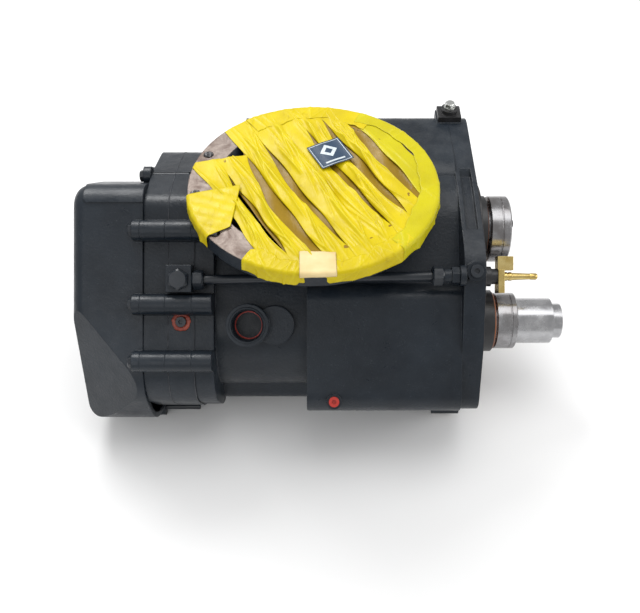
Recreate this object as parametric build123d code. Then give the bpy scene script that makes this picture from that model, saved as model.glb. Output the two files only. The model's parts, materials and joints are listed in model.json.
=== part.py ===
"""Air end of an oil-free twin-screw compressor, in millimetres.

The origin is on the axis of the lower rotor, at the outer face of the drive flange.
+X points out of the drive end, +Z out of the inlet flange and +Y to the back.
The lower, driven rotor is the six-flute female; the upper one is the four-lobe male.
"""
from build123d import *
from math import acos, atan2, cos, hypot, pi, radians, sin, tan
import os

# ---- driving dimensions --------------------------------------------------------------------
CENTRES = 175.0              # distance between the rotor axes
CENTRES_TILT = 36.8          # slope of the line through both axes, degrees above +Y
FRONT_TILT = 49.5            # how far the casing's front face leans back, degrees
MALE_LOBES, FEMALE_LOBES = 4, 6
LOBE_R = 34.0                # radius of a lobe's round flank
ROTOR_GAP = 0.5              # running gap about the rotors
MALE_WRAP = 270.0            # twist of the male rotor over its length, degrees
ROTOR_END_GAP = 0.6          # running gap at the rotors' end faces

FLANGE_T = 37.0              # drive flange thickness
DRIVE_WALL = 140.0           # drive flange face to the rotor chamber
HOUSING_L = 500.0            # drive flange face to the discharge joint
END_PLATE_T = 45.0           # discharge end plate
SPACER_T = 43.0              # thrust bearing housing
COVER_L = 126.0              # gear cover
COVER_WALL = 10.0

JOURNAL_R = 45.0             # shaft radius in the roller bearings
ROLLER_OD_R = 72.0           # roller bearing outer radius
ROLLER_W = 30.0
ROLLER_R = 7.4
ROLLER_COUNT = 14
THRUST_SEAT_R = 40.0
THRUST_OD_R = 70.0
THRUST_W = 28.0
BALL_R = 9.5
BALL_COUNT = 14
RACE_GAP = 0.3               # gap between a rolling element and its races
DRIVE_SEAL_RINGS = 4         # carbon rings in each drive-end seal
SEAL_SEAT = 12.0             # wall left between the rotor chamber and a seal
SEAL_OD_R = 62.0
SHAFT_GAP = 0.3              # gap between a shaft and the still parts round it
GEAR_SEAT_R = 35.0
MALE_TEETH, FEMALE_TEETH = 40, 60
GEAR_MODULE = 2 * CENTRES / (MALE_TEETH + FEMALE_TEETH)
GEAR_W = 40.0
GEAR_BACKLASH = 0.4
LOCKNUT_R, LOCKNUT_W = 46.0, 16.0

INLET_X, INLET_Y, INLET_Z = -294.0, 90.0, 264.0   # centre of the inlet flange's face
INLET_OD_R = 215.0
INLET_BORE_R = 168.0
INLET_FLANGE_T = 28.0
INLET_PCD = 403.0
INLET_HOLES = 12
INLET_START = 8.0            # angle of the first hole, degrees
INLET_HOLE_R = 8.75          # M20 tapping
INLET_HOLE_DEPTH = 24.0
NECK_Z, NECK_R, THROAT_R = 180.0, 126.0, 84.0   # waist of the inlet neck
NECK_WALL = 14.0

OUTLET_X, OUTLET_Y, BASE_Z = -378.0, 78.0, -175.0
OUTLET_OD_R, OUTLET_BORE_R, OUTLET_PCD = 118.0, 70.0, 190.0
OUTLET_HOLES, OUTLET_HOLE_R, OUTLET_HOLE_DEPTH, OUTLET_FLANGE_T = 8, 7.0, 26.0, 30.0

OUTLET_START = 22.5

DRIVE_PCD, DRIVE_HOLES, DRIVE_HOLE_R, DRIVE_HOLE_DEPTH = 260.0, 4, 6.0, 30.0   # M14 tapping
DRIVE_START = 0.0

DRIVE_SEAT_R, DRIVE_SEAT_END = 42.5, 150.0
SLEEVE_SEAT_R = 43.0         # both shafts under their sleeve or collar
DRIVE_END_R, DRIVE_END = 32.5, 169.0
SLEEVE_R, SLEEVE_X0, SLEEVE_X1 = 52.5, 44.0, 82.0
COLLAR_R, COLLAR_X0, COLLAR_X1 = 62.5, 33.0, 71.0
DRIVE_CAP_R, DRIVE_CAP_T = 86.0, 12.0      # drive-end bearing covers

PORT_R, PORT_BOSS_R, PORT_DEPTH = 27.0, 37.0, 35.0   # threaded port on the front
PORT_SEAL_R, PORT_SEAL_IN_R, PORT_SEAL_T = 25.0, 22.5, 3.0
PORT_X, PORT_T, PORT_N = -407.0, -6.0, 150.0

BOLT_R, BOLT_AF, BOLT_HEAD_T = 6.0, 19.0, 8.0
BOLT_CLEAR = 0.3
BOSS_R = 17.0                # bolt lobes on the joint flanges
LOBE_SEAT = 14.0             # thickness of the cover's bolt lobes

PIPE_R, PIPE_NUT_AF, PIPE_NUT_L = 8.0, 30.0, 20.0
PIPE_T0, PIPE_T1 = 72.0, 79.0              # the pipe's ends, up the casing's front
PIPE_N0, PIPE_N1 = 153.0, 158.0            # and their stand-off
PIPE_X0, PIPE_X1 = -HOUSING_L, -72.0
FRONT_N = 138.0              # stand-off of the joint flanges' front from the lower axis
PLATE_FRONT_N = 136.0        # and of the discharge plates' front
BARREL_R = 118.0             # casing outside the rotor bores
JACKET_X0, PLENUM_X0 = -305.0, -425.0      # left ends of the jacket and the inlet chest
RIM_T, RIM_BOLT_DEPTH = 34.0, 24.0         # joint flange of the rotor housing
LOBE_OUT = 14.0              # bolt lobes' centres outside the cover's wall
COVER_ROUND, LEDGE_RISE = 26.0, 2.5
SHAFT_HOLE_GAP = 2.0         # wide clearance where a wall is passed by a shaft

CAP_SCREW_R, CAP_SCREWS, CAP_SCREW_CIRCLE = 3.0, 6, 79.5
DRIVE_CAP_HUBS = {"female": (58.0, 38.0), "male": (63.0, 27.0)}   # radius and end of each hub
LIP_R, LIP_W, LIP_PROUD = 56.0, 12.0, 3.0     # lip seals in the bearing covers' mouths
END_SCREW_R, PLATE_SCREW_R, PLATE_SCREW_CIRCLE = 5.0, 4.0, 17.0
SPACER_SLEEVE_R = 50.0       # sleeve between each timing gear and thrust bearing
GEAR_HUB_R, GEAR_HOLES = 46.0, 6
BALL_RACE_GAP = 4.0          # thrust ring's edge to the balls' centre circle
DOWEL_R, DOWEL_FIT = 5.0, 0.02

PIPE_BOSS_X, PIPE_BOSS_R = -45.0, 18.0
BANJO_X, BANJO_T, BANJO_HOLE_R = -HOUSING_L - 22.0, 30.0, 8.2
SEALED_T, SEALED_HOLE_R = 0.0, 6.6
RIM_BOSS_X, RIM_BOSS_T, RIM_BOSS_N = -18.0, 86.0, 170.0
JACKET_PLUG_X, JACKET_PLUG_T, JACKET_PLUG_N = -258.0, -138.0, 138.0
JET_X, JET_T, JET_N, JET_END = 38.0, 81.0, 68.0, 111.0   # oil jet between the shafts
CLAMP_X, CLAMP_Y, CLAMP_Z = -34.0, 320.0, 233.0
CLAMP_HOLE_R = 5.3
TAPE_T, TAPE_R = 1.5, 190.0
LABEL_AT, LABEL_HALF, LABEL_TURN, LABEL_T = (30.0, 80.0), 30.0, 24.0, 0.6

# ---- derived places ------------------------------------------------------------------------
MALE_Y = CENTRES * cos(radians(CENTRES_TILT))
MALE_Z = CENTRES * sin(radians(CENTRES_TILT))
FEMALE = (0.0, 0.0)
MALE = (MALE_Y, MALE_Z)
MALE_PITCH = CENTRES * MALE_LOBES / (MALE_LOBES + FEMALE_LOBES)
FEMALE_PITCH = CENTRES - MALE_PITCH
END_X = -HOUSING_L
SPACER_X = END_X - END_PLATE_T
COVER_X = SPACER_X - SPACER_T
COVER_END = COVER_X - COVER_L
ROTOR_X0, ROTOR_X1 = -HOUSING_L + ROTOR_END_GAP, -DRIVE_WALL - ROTOR_END_GAP
GEAR_X1 = COVER_X - 8.0
GEAR_X0 = GEAR_X1 - GEAR_W
NUT_X0 = GEAR_X0 - LOCKNUT_W
DRIVE_BEARING_X0 = -ROLLER_W - 6.0
THRUST_X0 = SPACER_X - THRUST_W
THRUST_MID = THRUST_X0 + THRUST_W / 2
ROLLER_PATH = (JOURNAL_R + ROLLER_OD_R) / 2
BALL_PATH = (THRUST_SEAT_R + THRUST_OD_R) / 2
CT, ST = cos(radians(FRONT_TILT)), sin(radians(FRONT_TILT))


def place(t, n):
    """A point of the cross-section from its height t up the leaning front and its stand-off n."""
    return (ST * t - CT * n, CT * t + ST * n)


JET = place(JET_T, JET_N)
DOWEL_SPOTS = [place(200, -150), place(112, 122)]

# ---- helpers -------------------------------------------------------------------------------
def rod(y, z, r, x0, x1):
    """A cylinder along X."""
    return Solid.make_cylinder(r, x1 - x0, Plane((x0, y, z), z_dir=(1, 0, 0)))


def ring(y, z, r_out, r_in, x0, x1):
    return rod(y, z, r_out, x0, x1) - rod(y, z, r_in, x0 - 1, x1 + 1)


def post(x, y, r, z0, z1):
    """A cylinder along Z."""
    return Solid.make_cylinder(r, z1 - z0, Plane((x, y, z0), z_dir=(0, 0, 1)))


def upright_cone(r0, r1, z0, z1):
    """A cone about the inlet's axis."""
    return Solid.make_cone(r0, r1, z1 - z0, Plane((INLET_X, INLET_Y, z0), z_dir=(0, 0, 1)))


def box(x0, x1, y0, y1, z0, z1):
    return Solid.make_box(x1 - x0, y1 - y0, z1 - z0, Plane((x0, y0, z0)))


def belt(circles):
    """The closed outline of a belt round circles (y, z, r), taken anticlockwise."""
    tangents = []
    for (y0, z0, r0), (y1, z1, r1) in zip(circles, circles[1:] + circles[:1]):
        span = hypot(y1 - y0, z1 - z0)
        angle = atan2(z1 - z0, y1 - y0) - acos((r0 - r1) / span)
        tangents.append(angle)
    edges = []
    for i, (y, z, r) in enumerate(circles):
        a0 = tangents[i - 1]
        a1 = a0 + (tangents[i] - a0) % (2 * pi)
        spots = [(y + r * cos(a), z + r * sin(a)) for a in (a0, (a0 + a1) / 2, a1)]
        if a1 - a0 > 1e-4:
            edges.append(Edge.make_three_point_arc(*[Vector(0, *s) for s in spots]))
        y2, z2, r2 = circles[(i + 1) % len(circles)]
        edges.append(Edge.make_line(Vector(0, *spots[2]),
                                    Vector(0, y2 + r2 * cos(a1), z2 + r2 * sin(a1))))
    return Face(Wire(edges))


def slab(face, x0, x1):
    """Extrude a cross-section that lies in the plane X = 0 from x0 to x1."""
    return Solid.extrude(face.moved(Location((x0, 0, 0))), Vector(x1 - x0, 0, 0))


def hex_rod(y, z, across, x0, x1):
    wire = Wire.make_polygon([Vector(x0, y + across / 3 ** 0.5 * cos(a), z + across / 3 ** 0.5 * sin(a))
                              for a in [pi / 3 * k for k in range(6)]])
    return Solid.extrude(Face(wire), Vector(x1 - x0, 0, 0))


def bolt(y, z, x_seat, length, r=BOLT_R, out=-1):
    """A hex-head bolt along X whose head seats at x_seat and points to out."""
    head_t = BOLT_HEAD_T * r / BOLT_R
    across = BOLT_AF * r / BOLT_R
    head = hex_rod(y, z, across, min(x_seat, x_seat + out * head_t), max(x_seat, x_seat + out * head_t))
    tip = x_seat - out * length
    return head + rod(y, z, r, min(x_seat, tip), max(x_seat, tip))


def one(shape):
    """The single solid of a boolean's result."""
    solids = shape.solids() if hasattr(shape, "solids") else shape
    return max(solids, key=lambda s: s.volume)


def polar(centre, r, angle):
    return (centre[0] + r * cos(radians(angle)), centre[1] + r * sin(radians(angle)))


def spots_in_circle(centre, r, count, start=0.0):
    return [polar(centre, r, start + 360.0 * k / count) for k in range(count)]


def leaning_post(x, t, r, n0, n1):
    """A cylinder that stands square on the leaning front face."""
    y, z = place(t, n0)
    return Solid.make_cylinder(r, n1 - n0, Plane((x, y, z), z_dir=(0, -CT, ST)))


def leaning_hex(x, t, across, n0, n1):
    plane = Plane((x, *place(t, n0)), x_dir=(1, 0, 0), z_dir=(0, -CT, ST))
    corner = across / 3 ** 0.5
    spots = [plane.from_local_coords((corner * cos(pi / 3 * k), corner * sin(pi / 3 * k), 0)) for k in range(6)]
    return Solid.extrude(Face(Wire.make_polygon(spots)), plane.z_dir * (n1 - n0))


def leaning_box(x0, x1, t0, t1, n0, n1):
    """A box squared to the leaning front face."""
    plane = Plane((x0, *place(t0, n0)), x_dir=(1, 0, 0), z_dir=(0, -CT, ST))
    return Solid.make_box(x1 - x0, t1 - t0, n1 - n0, plane)


def hex_up(x, y, across, z0, z1):
    wire = Wire.make_polygon([Vector(x + across / 3 ** 0.5 * cos(pi / 3 * k),
                                     y + across / 3 ** 0.5 * sin(pi / 3 * k), z0) for k in range(6)])
    return Solid.extrude(Face(wire), Vector(0, 0, z1 - z0))


def save(name, solids):
    if not isinstance(solids, (list, tuple)):
        solids = [solids]
    flat = [s for shape in solids for s in shape.solids()]
    export_step(Compound(children=flat) if len(flat) > 1 else flat[0], f"parts/{name}.step")


# ---- outlines of the castings --------------------------------------------------------------
def circle_at(t, n, r):
    return (*place(t, n), r)


def grown(circles, rise):
    return belt([(y, z, r + rise) for y, z, r in circles])


COVER = [circle_at(-60, 0, 122), circle_at(0, -12, 122), circle_at(174, -11, 88),
         circle_at(200, FRONT_N - 42, 42), circle_at(-76, FRONT_N - 78, 78)]
PLATE = [circle_at(-38, -10, 122), circle_at(10, -84, 90), circle_at(150, -60, 140),
         circle_at(252, -62, 78), circle_at(174, -11, 120), circle_at(196, FRONT_N - 42, 35),
         circle_at(-70, FRONT_N - 80, 78)]
DRIVE_RIM = [(*FEMALE, 146), circle_at(-124, 70, 34), (-60, -130, 40), (190, -130, 40), (292, 40, 52),
             (298, 178, 54), (*MALE, 120), (26, 108, 98)]
BARREL = [(*FEMALE, BARREL_R), (*MALE, BARREL_R)]
JACKET = [circle_at(-120, 96, 38), circle_at(-60, -40, 60), circle_at(40, 30, 60), circle_at(38, 106, 30)]
PLENUM = [(120, 60, 60), (292, 60, 40), (300, 184, 48), (190, 182, 52)]
SUMP = [(-50, -110, 40), (190, -110, 40), (180, 0, 60), (0, 0, 80)]

FRONT_BOLT_T = (157, 30, -68)
FRONT_BOLTS = [place(t, FRONT_N + LOBE_OUT) for t in FRONT_BOLT_T]
BACK_BOLTS = [place(*spot) for spot in ((308, -62), (252, -132), (150, -190), (66, -172))]
FRONT_LOBES = [belt([(*place(t, FRONT_N + LOBE_OUT), BOSS_R), (*place(t, FRONT_N - 26), BOSS_R + 4)])
               for t in FRONT_BOLT_T]
COVER_BOLTS = [polar(COVER[2][:2], COVER[2][2] + LOBE_OUT, a) for a in (40, 350)] + [place(265, 58)]
COVER_BOLTS += [polar(COVER[0][:2], COVER[0][2] + LOBE_OUT, a) for a in (255, 290)]
COVER_BOLTS += [polar(COVER[1][:2], COVER[1][2] + LOBE_OUT, 320)]


def facet_block(inset):
    """The space outside the slanted face at the cover's lower front corner."""
    a, b, c = [Vector(x, *place(t, n)) for x, t, n in
               ((COVER_X, -113, FRONT_N), (COVER_X - 112, 10, FRONT_N - 8), (COVER_X - 106, -183, 20))]
    out = (b - a).cross(c - a).normalized()
    plane = Plane(a - out * inset, z_dir=out)
    return Solid.make_box(900, 900, 300, Plane(plane.from_local_coords((-450, -450, 0)),
                                               x_dir=plane.x_dir, z_dir=out))


# ---- castings ------------------------------------------------------------------------------
def rim_groove():
    """Casting pocket in the drive flange's rim, over the front shoulder."""
    reach = leaning_box(-29, -9, 160, 345, 60, 300)
    return one(reach - slab(grown(DRIVE_RIM, -10), -30, -8))


def rotor_housing():
    solid = slab(belt(BARREL), END_X, -FLANGE_T + 1)
    parts = [slab(belt(DRIVE_RIM), -FLANGE_T, 0),
             slab(grown(PLATE, -2), END_X, END_X + RIM_T),
             slab(belt(JACKET), JACKET_X0, -FLANGE_T + 1),
             slab(belt(PLENUM), PLENUM_X0, -FLANGE_T + 1),
             slab(belt(SUMP), END_X + RIM_T - 1, -FLANGE_T + 1),
             upright_cone(NECK_R, INLET_OD_R - 27, NECK_Z, INLET_Z - INLET_FLANGE_T + 1),
             upright_cone(NECK_R - 12, NECK_R, 90, NECK_Z + 0.1),
             post(INLET_X, INLET_Y, INLET_OD_R, INLET_Z - INLET_FLANGE_T, INLET_Z),
             post(OUTLET_X, OUTLET_Y, OUTLET_OD_R, BASE_Z, BASE_Z + OUTLET_FLANGE_T),
             post(OUTLET_X, OUTLET_Y, OUTLET_BORE_R + 18, BASE_Z, -60),
             box(-62, -8, -95, 230, BASE_Z, -110),
             leaning_post(PORT_X, PORT_T, PORT_BOSS_R, 60, PORT_N),
             leaning_post(PORT_X + 46, PORT_T, 34, 60, PORT_N - 18),
             rod(*place(PIPE_T1, PIPE_N1), PIPE_BOSS_R, PIPE_BOSS_X, -FLANGE_T + 2),
             leaning_post(RIM_BOSS_X, RIM_BOSS_T, 17, 60, RIM_BOSS_N),
             box(CLAMP_X - 24, CLAMP_X + 24, CLAMP_Y - 20, CLAMP_Y + 20, CLAMP_Z - 30, CLAMP_Z),
             leaning_post(JACKET_PLUG_X, JACKET_PLUG_T, 13, 40, JACKET_PLUG_N)]
    parts += [slab(lobe, END_X, END_X + RIM_T) for lobe in FRONT_LOBES]
    for piece in parts:
        solid = solid + piece
    cuts = [rod(*FEMALE, FEMALE_PITCH + ROTOR_GAP, END_X - 1, -DRIVE_WALL),
            rod(*MALE, MALE_PITCH + LOBE_R + ROTOR_GAP, END_X - 1, -DRIVE_WALL),
            upright_cone(NECK_R - NECK_WALL, INLET_BORE_R, NECK_Z, INLET_Z),
            upright_cone(THROAT_R, NECK_R - NECK_WALL, 100, NECK_Z + 0.1),
            post(INLET_X, INLET_Y, THROAT_R, 40, 101),
            post(OUTLET_X, OUTLET_Y, OUTLET_BORE_R, BASE_Z - 1, 0),
            leaning_post(PORT_X, PORT_T, PORT_R, PORT_N - PORT_DEPTH, PORT_N + 1),
            leaning_post(PORT_X, PORT_T, PORT_SEAL_R, PORT_N - PORT_DEPTH - PORT_SEAL_T, PORT_N),
            rod(*place(PIPE_T1, PIPE_N1), 8.1, PIPE_BOSS_X - 1, -FLANGE_T + 6),
            leaning_post(RIM_BOSS_X, RIM_BOSS_T, 8.2, RIM_BOSS_N - 16, RIM_BOSS_N + 1),
            leaning_post(JACKET_PLUG_X, JACKET_PLUG_T, 7, JACKET_PLUG_N - 16, JACKET_PLUG_N + 1),
            rod(*JET, 8.8, -28, 1),
            post(CLAMP_X, CLAMP_Y, 5.2, CLAMP_Z - 24, CLAMP_Z + 1), rim_groove()]
    cuts += [rod(*spot, DOWEL_R + DOWEL_FIT, END_X - 1, END_X + 16) for spot in DOWEL_SPOTS]
    for axis in (FEMALE, MALE):
        cuts += [rod(*axis, ROLLER_OD_R, DRIVE_BEARING_X0, 1),
                 rod(*axis, SEAL_OD_R, -DRIVE_WALL + SEAL_SEAT, DRIVE_BEARING_X0 + 1),
                 rod(*axis, JOURNAL_R + SHAFT_HOLE_GAP, -DRIVE_WALL - 1, -DRIVE_WALL + SEAL_SEAT + 1)]
        cuts += [rod(y, z, CAP_SCREW_R + BOLT_CLEAR, -16, 1) for y, z in cap_screw_spots(axis)]
    for x, y in spots_in_circle((INLET_X, INLET_Y), INLET_PCD / 2, INLET_HOLES, INLET_START):
        cuts.append(post(x, y, INLET_HOLE_R, INLET_Z - INLET_HOLE_DEPTH, INLET_Z + 1))
    for x, y in spots_in_circle((OUTLET_X, OUTLET_Y), OUTLET_PCD / 2, OUTLET_HOLES, OUTLET_START):
        cuts.append(post(x, y, OUTLET_HOLE_R, BASE_Z - 1, BASE_Z + OUTLET_HOLE_DEPTH))
    for y, z in spots_in_circle(FEMALE, DRIVE_PCD / 2, DRIVE_HOLES, DRIVE_START):
        cuts.append(rod(y, z, DRIVE_HOLE_R, -DRIVE_HOLE_DEPTH, 1))
    for y, z in FRONT_BOLTS + BACK_BOLTS:
        cuts.append(rod(y, z, BOLT_R + BOLT_CLEAR, END_X - 1, END_X + RIM_BOLT_DEPTH))
    for cut in cuts:
        solid = solid - cut
    return one(solid)


def cap_screw_spots(axis):
    return spots_in_circle(axis, CAP_SCREW_CIRCLE, CAP_SCREWS, CENTRES_TILT + 30.0)


def plate(x0, x1):
    solid = slab(belt(PLATE), x0, x1)
    for lobe in FRONT_LOBES:
        solid = solid + slab(lobe, x0, x1)
    for y, z in FRONT_BOLTS + BACK_BOLTS:
        solid = solid - rod(y, z, BOLT_R + BOLT_CLEAR, x0 - 1, x1 + 1)
    return solid


def discharge_end_plate():
    solid = plate(SPACER_X, END_X)
    for axis in (FEMALE, MALE):
        solid = solid - rod(*axis, ROLLER_OD_R, SPACER_X - 1, SPACER_X + ROLLER_W)
        solid = solid - rod(*axis, SEAL_OD_R, SPACER_X, END_X - 3)
        solid = solid - rod(*axis, JOURNAL_R + SHAFT_HOLE_GAP, SPACER_X, END_X + 1)
    for y, z in COVER_BOLTS:
        solid = solid - rod(y, z, BOLT_R + BOLT_CLEAR, SPACER_X - 1, SPACER_X + 30)
    for spot in DOWEL_SPOTS:
        solid = solid - rod(*spot, DOWEL_R + DOWEL_FIT, END_X - 16, END_X + 1)
    solid = solid - leaning_post(BANJO_X, PIPE_T0, BANJO_HOLE_R, PLATE_FRONT_N - 30, FRONT_N)
    solid = solid - leaning_post(BANJO_X, SEALED_T, SEALED_HOLE_R, PLATE_FRONT_N - 14, FRONT_N)
    return one(solid)


def thrust_bearing_housing():
    solid = plate(COVER_X, SPACER_X)
    for axis in (FEMALE, MALE):
        solid = solid - rod(*axis, THRUST_OD_R, THRUST_X0, SPACER_X + 1)
        solid = solid - rod(*axis, SPACER_SLEEVE_R + SHAFT_HOLE_GAP, COVER_X - 1, THRUST_X0 + 1)
    for y, z in COVER_BOLTS:
        solid = solid - rod(y, z, BOLT_R + BOLT_CLEAR, COVER_X - 1, SPACER_X + 1)
    return one(solid)


def timing_gear_cover():
    outer = slab(belt(COVER), COVER_END, COVER_X)
    rim = outer.edges().filter_by_position(Axis.X, COVER_END - 0.1, COVER_END + 0.1)
    outer = outer.fillet(COVER_ROUND, rim)
    outer = outer - facet_block(0)
    ledge = Solid.extrude(Face(Wire.make_polygon([Vector(x, *place(t, 0)) for x, t in (
        (COVER_END + 22, 212), (COVER_END + 28, 206), (COVER_X + 1, 206), (COVER_X + 1, 330),
        (COVER_END + 22, 330))])), Vector(0, -CT, ST) * 300)
    skin = slab(grown(COVER, LEDGE_RISE), COVER_END + 14, COVER_X)
    outer = outer + ledge.intersect(skin).solids()[0]
    for lobe in FRONT_LOBES:
        outer = outer + slab(lobe, COVER_X - LOBE_SEAT, COVER_X)
    for y, z in COVER_BOLTS:
        outer = outer + rod(y, z, BOSS_R, COVER_X - LOBE_SEAT, COVER_X)
    inner = slab(grown(COVER, -COVER_WALL), COVER_END + COVER_WALL, COVER_X + 1)
    inner = inner - facet_block(COVER_WALL)
    solid = outer - inner
    for y, z in FRONT_BOLTS + COVER_BOLTS:
        solid = solid - rod(y, z, BOLT_R + BOLT_CLEAR, COVER_X - LOBE_SEAT - 1, COVER_X + 1)
    return one(solid)


def drive_cap(axis, hub_r, hub_x):
    """Drive-end bearing cover with a lip seal's recess in its mouth."""
    solid = rod(*axis, DRIVE_CAP_R, 0, DRIVE_CAP_T) + rod(*axis, hub_r, 0, hub_x)
    solid = solid - rod(*axis, JOURNAL_R + 3, -1, hub_x + 1)
    solid = solid - rod(*axis, LIP_R, hub_x - LIP_W, hub_x + 1)
    for y, z in cap_screw_spots(axis):
        solid = solid - rod(y, z, CAP_SCREW_R + BOLT_CLEAR, -1, DRIVE_CAP_T + 1)
        solid = solid - rod(y, z, CAP_SCREW_R * 1.9, DRIVE_CAP_T - 4, DRIVE_CAP_T + 1)
    return one(solid)


# ---- rotors --------------------------------------------------------------------------------
def lobes(axis, pitch, count, lobe_r, start):
    """Discs of the lobes or flutes, centred on the pitch circle."""
    return [Face(Wire.make_circle(lobe_r, Plane((ROTOR_X0, *spot), z_dir=(1, 0, 0))))
            for spot in spots_in_circle(axis, pitch, count, start)]


def screw(axis, r, discs, add, wrap):
    """A helical rotor body: its profile turned steadily by wrap degrees over its length."""
    profile = Face(Wire.make_circle(r, Plane((ROTOR_X0, *axis), z_dir=(1, 0, 0))))
    for disc in discs:
        profile = profile + disc if add else profile - disc
    section = profile.faces()[0] if hasattr(profile, "faces") else profile
    return Solid.extrude_linear_with_rotation(section, (ROTOR_X0, *axis), (ROTOR_X1 - ROTOR_X0, 0, 0), wrap)


def journals(axis, seat_x):
    """The stepped shaft from the thrust end to the drive-end seat."""
    steps = [(NUT_X0 - 2, GEAR_X0, GEAR_SEAT_R - 4), (GEAR_X0, GEAR_X1, GEAR_SEAT_R),
             (GEAR_X1, SPACER_X, THRUST_SEAT_R), (SPACER_X, ROTOR_X0 + 1, JOURNAL_R),
             (ROTOR_X1 - 1, seat_x, JOURNAL_R)]
    return [rod(*axis, r, x0, x1) for x0, x1, r in steps]


def female_rotor():
    flutes = lobes(FEMALE, FEMALE_PITCH, FEMALE_LOBES, LOBE_R, CENTRES_TILT)
    wrap = MALE_WRAP * MALE_LOBES / FEMALE_LOBES
    solid = screw(FEMALE, FEMALE_PITCH - ROTOR_GAP, flutes, False, -wrap)
    for piece in journals(FEMALE, SLEEVE_X0):
        solid = solid + piece
    solid = solid + rod(*FEMALE, SLEEVE_SEAT_R, SLEEVE_X0 - 1, SLEEVE_X1)
    solid = solid + rod(*FEMALE, DRIVE_SEAT_R, SLEEVE_X1 - 1, DRIVE_SEAT_END)
    solid = solid + rod(*FEMALE, DRIVE_END_R, DRIVE_SEAT_END - 1, DRIVE_END)
    return one(solid - rod(*FEMALE, END_SCREW_R + BOLT_CLEAR, DRIVE_END - 26, DRIVE_END + 1))


def male_rotor():
    crests = lobes(MALE, MALE_PITCH, MALE_LOBES, LOBE_R - ROTOR_GAP, CENTRES_TILT + 180)
    solid = screw(MALE, MALE_PITCH, crests, True, MALE_WRAP)
    for piece in journals(MALE, COLLAR_X0):
        solid = solid + piece
    solid = solid + rod(*MALE, SLEEVE_SEAT_R, COLLAR_X0 - 1, COLLAR_X1)
    for y, z in plate_screw_spots():
        solid = solid - rod(y, z, PLATE_SCREW_R + BOLT_CLEAR, COLLAR_X1 - 22, COLLAR_X1 + 1)
    return one(solid)


def plate_screw_spots():
    return spots_in_circle(MALE, PLATE_SCREW_CIRCLE, 3, 100.0)


def male_end_plate():
    solid = rod(*MALE, 28, COLLAR_X1, COLLAR_X1 + 6)
    solid = solid + rod(*MALE, DRIVE_SEAT_R + 5, COLLAR_X1, COLLAR_X1 + 2)
    for y, z in plate_screw_spots():
        solid = solid - rod(y, z, PLATE_SCREW_R + BOLT_CLEAR, COLLAR_X1 - 1, COLLAR_X1 + 7)
    return one(solid)


# ---- gears and bearings --------------------------------------------------------------------
def timing_gear(axis, pitch, teeth, phase):
    """A spur gear with involute flanks; phase is the angle of one tooth's centre, degrees."""
    base = pitch * cos(radians(20))
    tip, root = pitch + GEAR_MODULE, pitch - 1.25 * GEAR_MODULE
    half_pitch = (pi * GEAR_MODULE / 2 - GEAR_BACKLASH / 2) / 2 / pitch
    roll = tan(radians(20)) - radians(20)

    def half_angle(r):
        lean = acos(min(1.0, base / r))
        return half_pitch + roll - (tan(lean) - lean)

    radii = [root] + [max(base, root) + (tip - max(base, root)) * k / 3 for k in range(4)]
    flank = [(r, half_angle(max(r, base))) for r in sorted(set(radii))]
    spots = []
    for k in range(teeth):
        centre = radians(phase) + 2 * pi * k / teeth
        for r, a in flank:
            spots.append((r, centre - a))
        for r, a in reversed(flank):
            spots.append((r, centre + a))
    wire = Wire.make_polygon([Vector(GEAR_X0, axis[0] + r * cos(a), axis[1] + r * sin(a)) for r, a in spots])
    solid = Solid.extrude(Face(wire), Vector(GEAR_W, 0, 0))
    web = (pitch + GEAR_HUB_R) / 2
    for y, z in spots_in_circle(axis, web, GEAR_HOLES, phase + 30):
        solid = solid - rod(y, z, (pitch - GEAR_HUB_R) / 2 - 8, GEAR_X0 - 1, GEAR_X1 + 1)
    return one(solid - rod(*axis, GEAR_SEAT_R, GEAR_X0 - 1, GEAR_X1 + 1))


def locknut(axis):
    solid = rod(*axis, LOCKNUT_R, NUT_X0, GEAR_X0) - rod(*axis, GEAR_SEAT_R - 4, NUT_X0 - 1, GEAR_X0 + 1)
    for y, z in spots_in_circle(axis, LOCKNUT_R, 4):
        solid = solid - rod(y, z, 5, NUT_X0 - 1, GEAR_X0 + 1)
    return one(solid)


def roller_outer(axis, x0):
    return ring(*axis, ROLLER_OD_R, ROLLER_PATH + ROLLER_R + RACE_GAP, x0, x0 + ROLLER_W)


def roller_inner(axis, x0):
    return ring(*axis, ROLLER_PATH - ROLLER_R - RACE_GAP, JOURNAL_R, x0, x0 + ROLLER_W)


def rollers(axis, x0):
    return [rod(y, z, ROLLER_R, x0 + 4, x0 + ROLLER_W - 4)
            for y, z in spots_in_circle(axis, ROLLER_PATH, ROLLER_COUNT)]


def roller_cage(axis, x0):
    solid = ring(*axis, ROLLER_PATH + 3, ROLLER_PATH - 3, x0 + 1, x0 + ROLLER_W - 1)
    for y, z in spots_in_circle(axis, ROLLER_PATH, ROLLER_COUNT):
        solid = solid - rod(y, z, ROLLER_R + 0.1, x0 + 3.8, x0 + ROLLER_W - 3.8)
    return one(solid)


def ball_track(axis):
    return Solid.make_torus(BALL_PATH, BALL_R + RACE_GAP, Plane((THRUST_MID, *axis), z_dir=(1, 0, 0)))


def thrust_outer(axis):
    return one(ring(*axis, THRUST_OD_R, BALL_PATH + BALL_RACE_GAP, THRUST_X0, SPACER_X) - ball_track(axis))


def thrust_inner(axis):
    return one(ring(*axis, BALL_PATH - BALL_RACE_GAP, THRUST_SEAT_R, THRUST_X0, SPACER_X) - ball_track(axis))


def balls(axis):
    return [Solid.make_sphere(BALL_R, Plane((THRUST_MID, y, z)))
            for y, z in spots_in_circle(axis, BALL_PATH, BALL_COUNT)]


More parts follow.
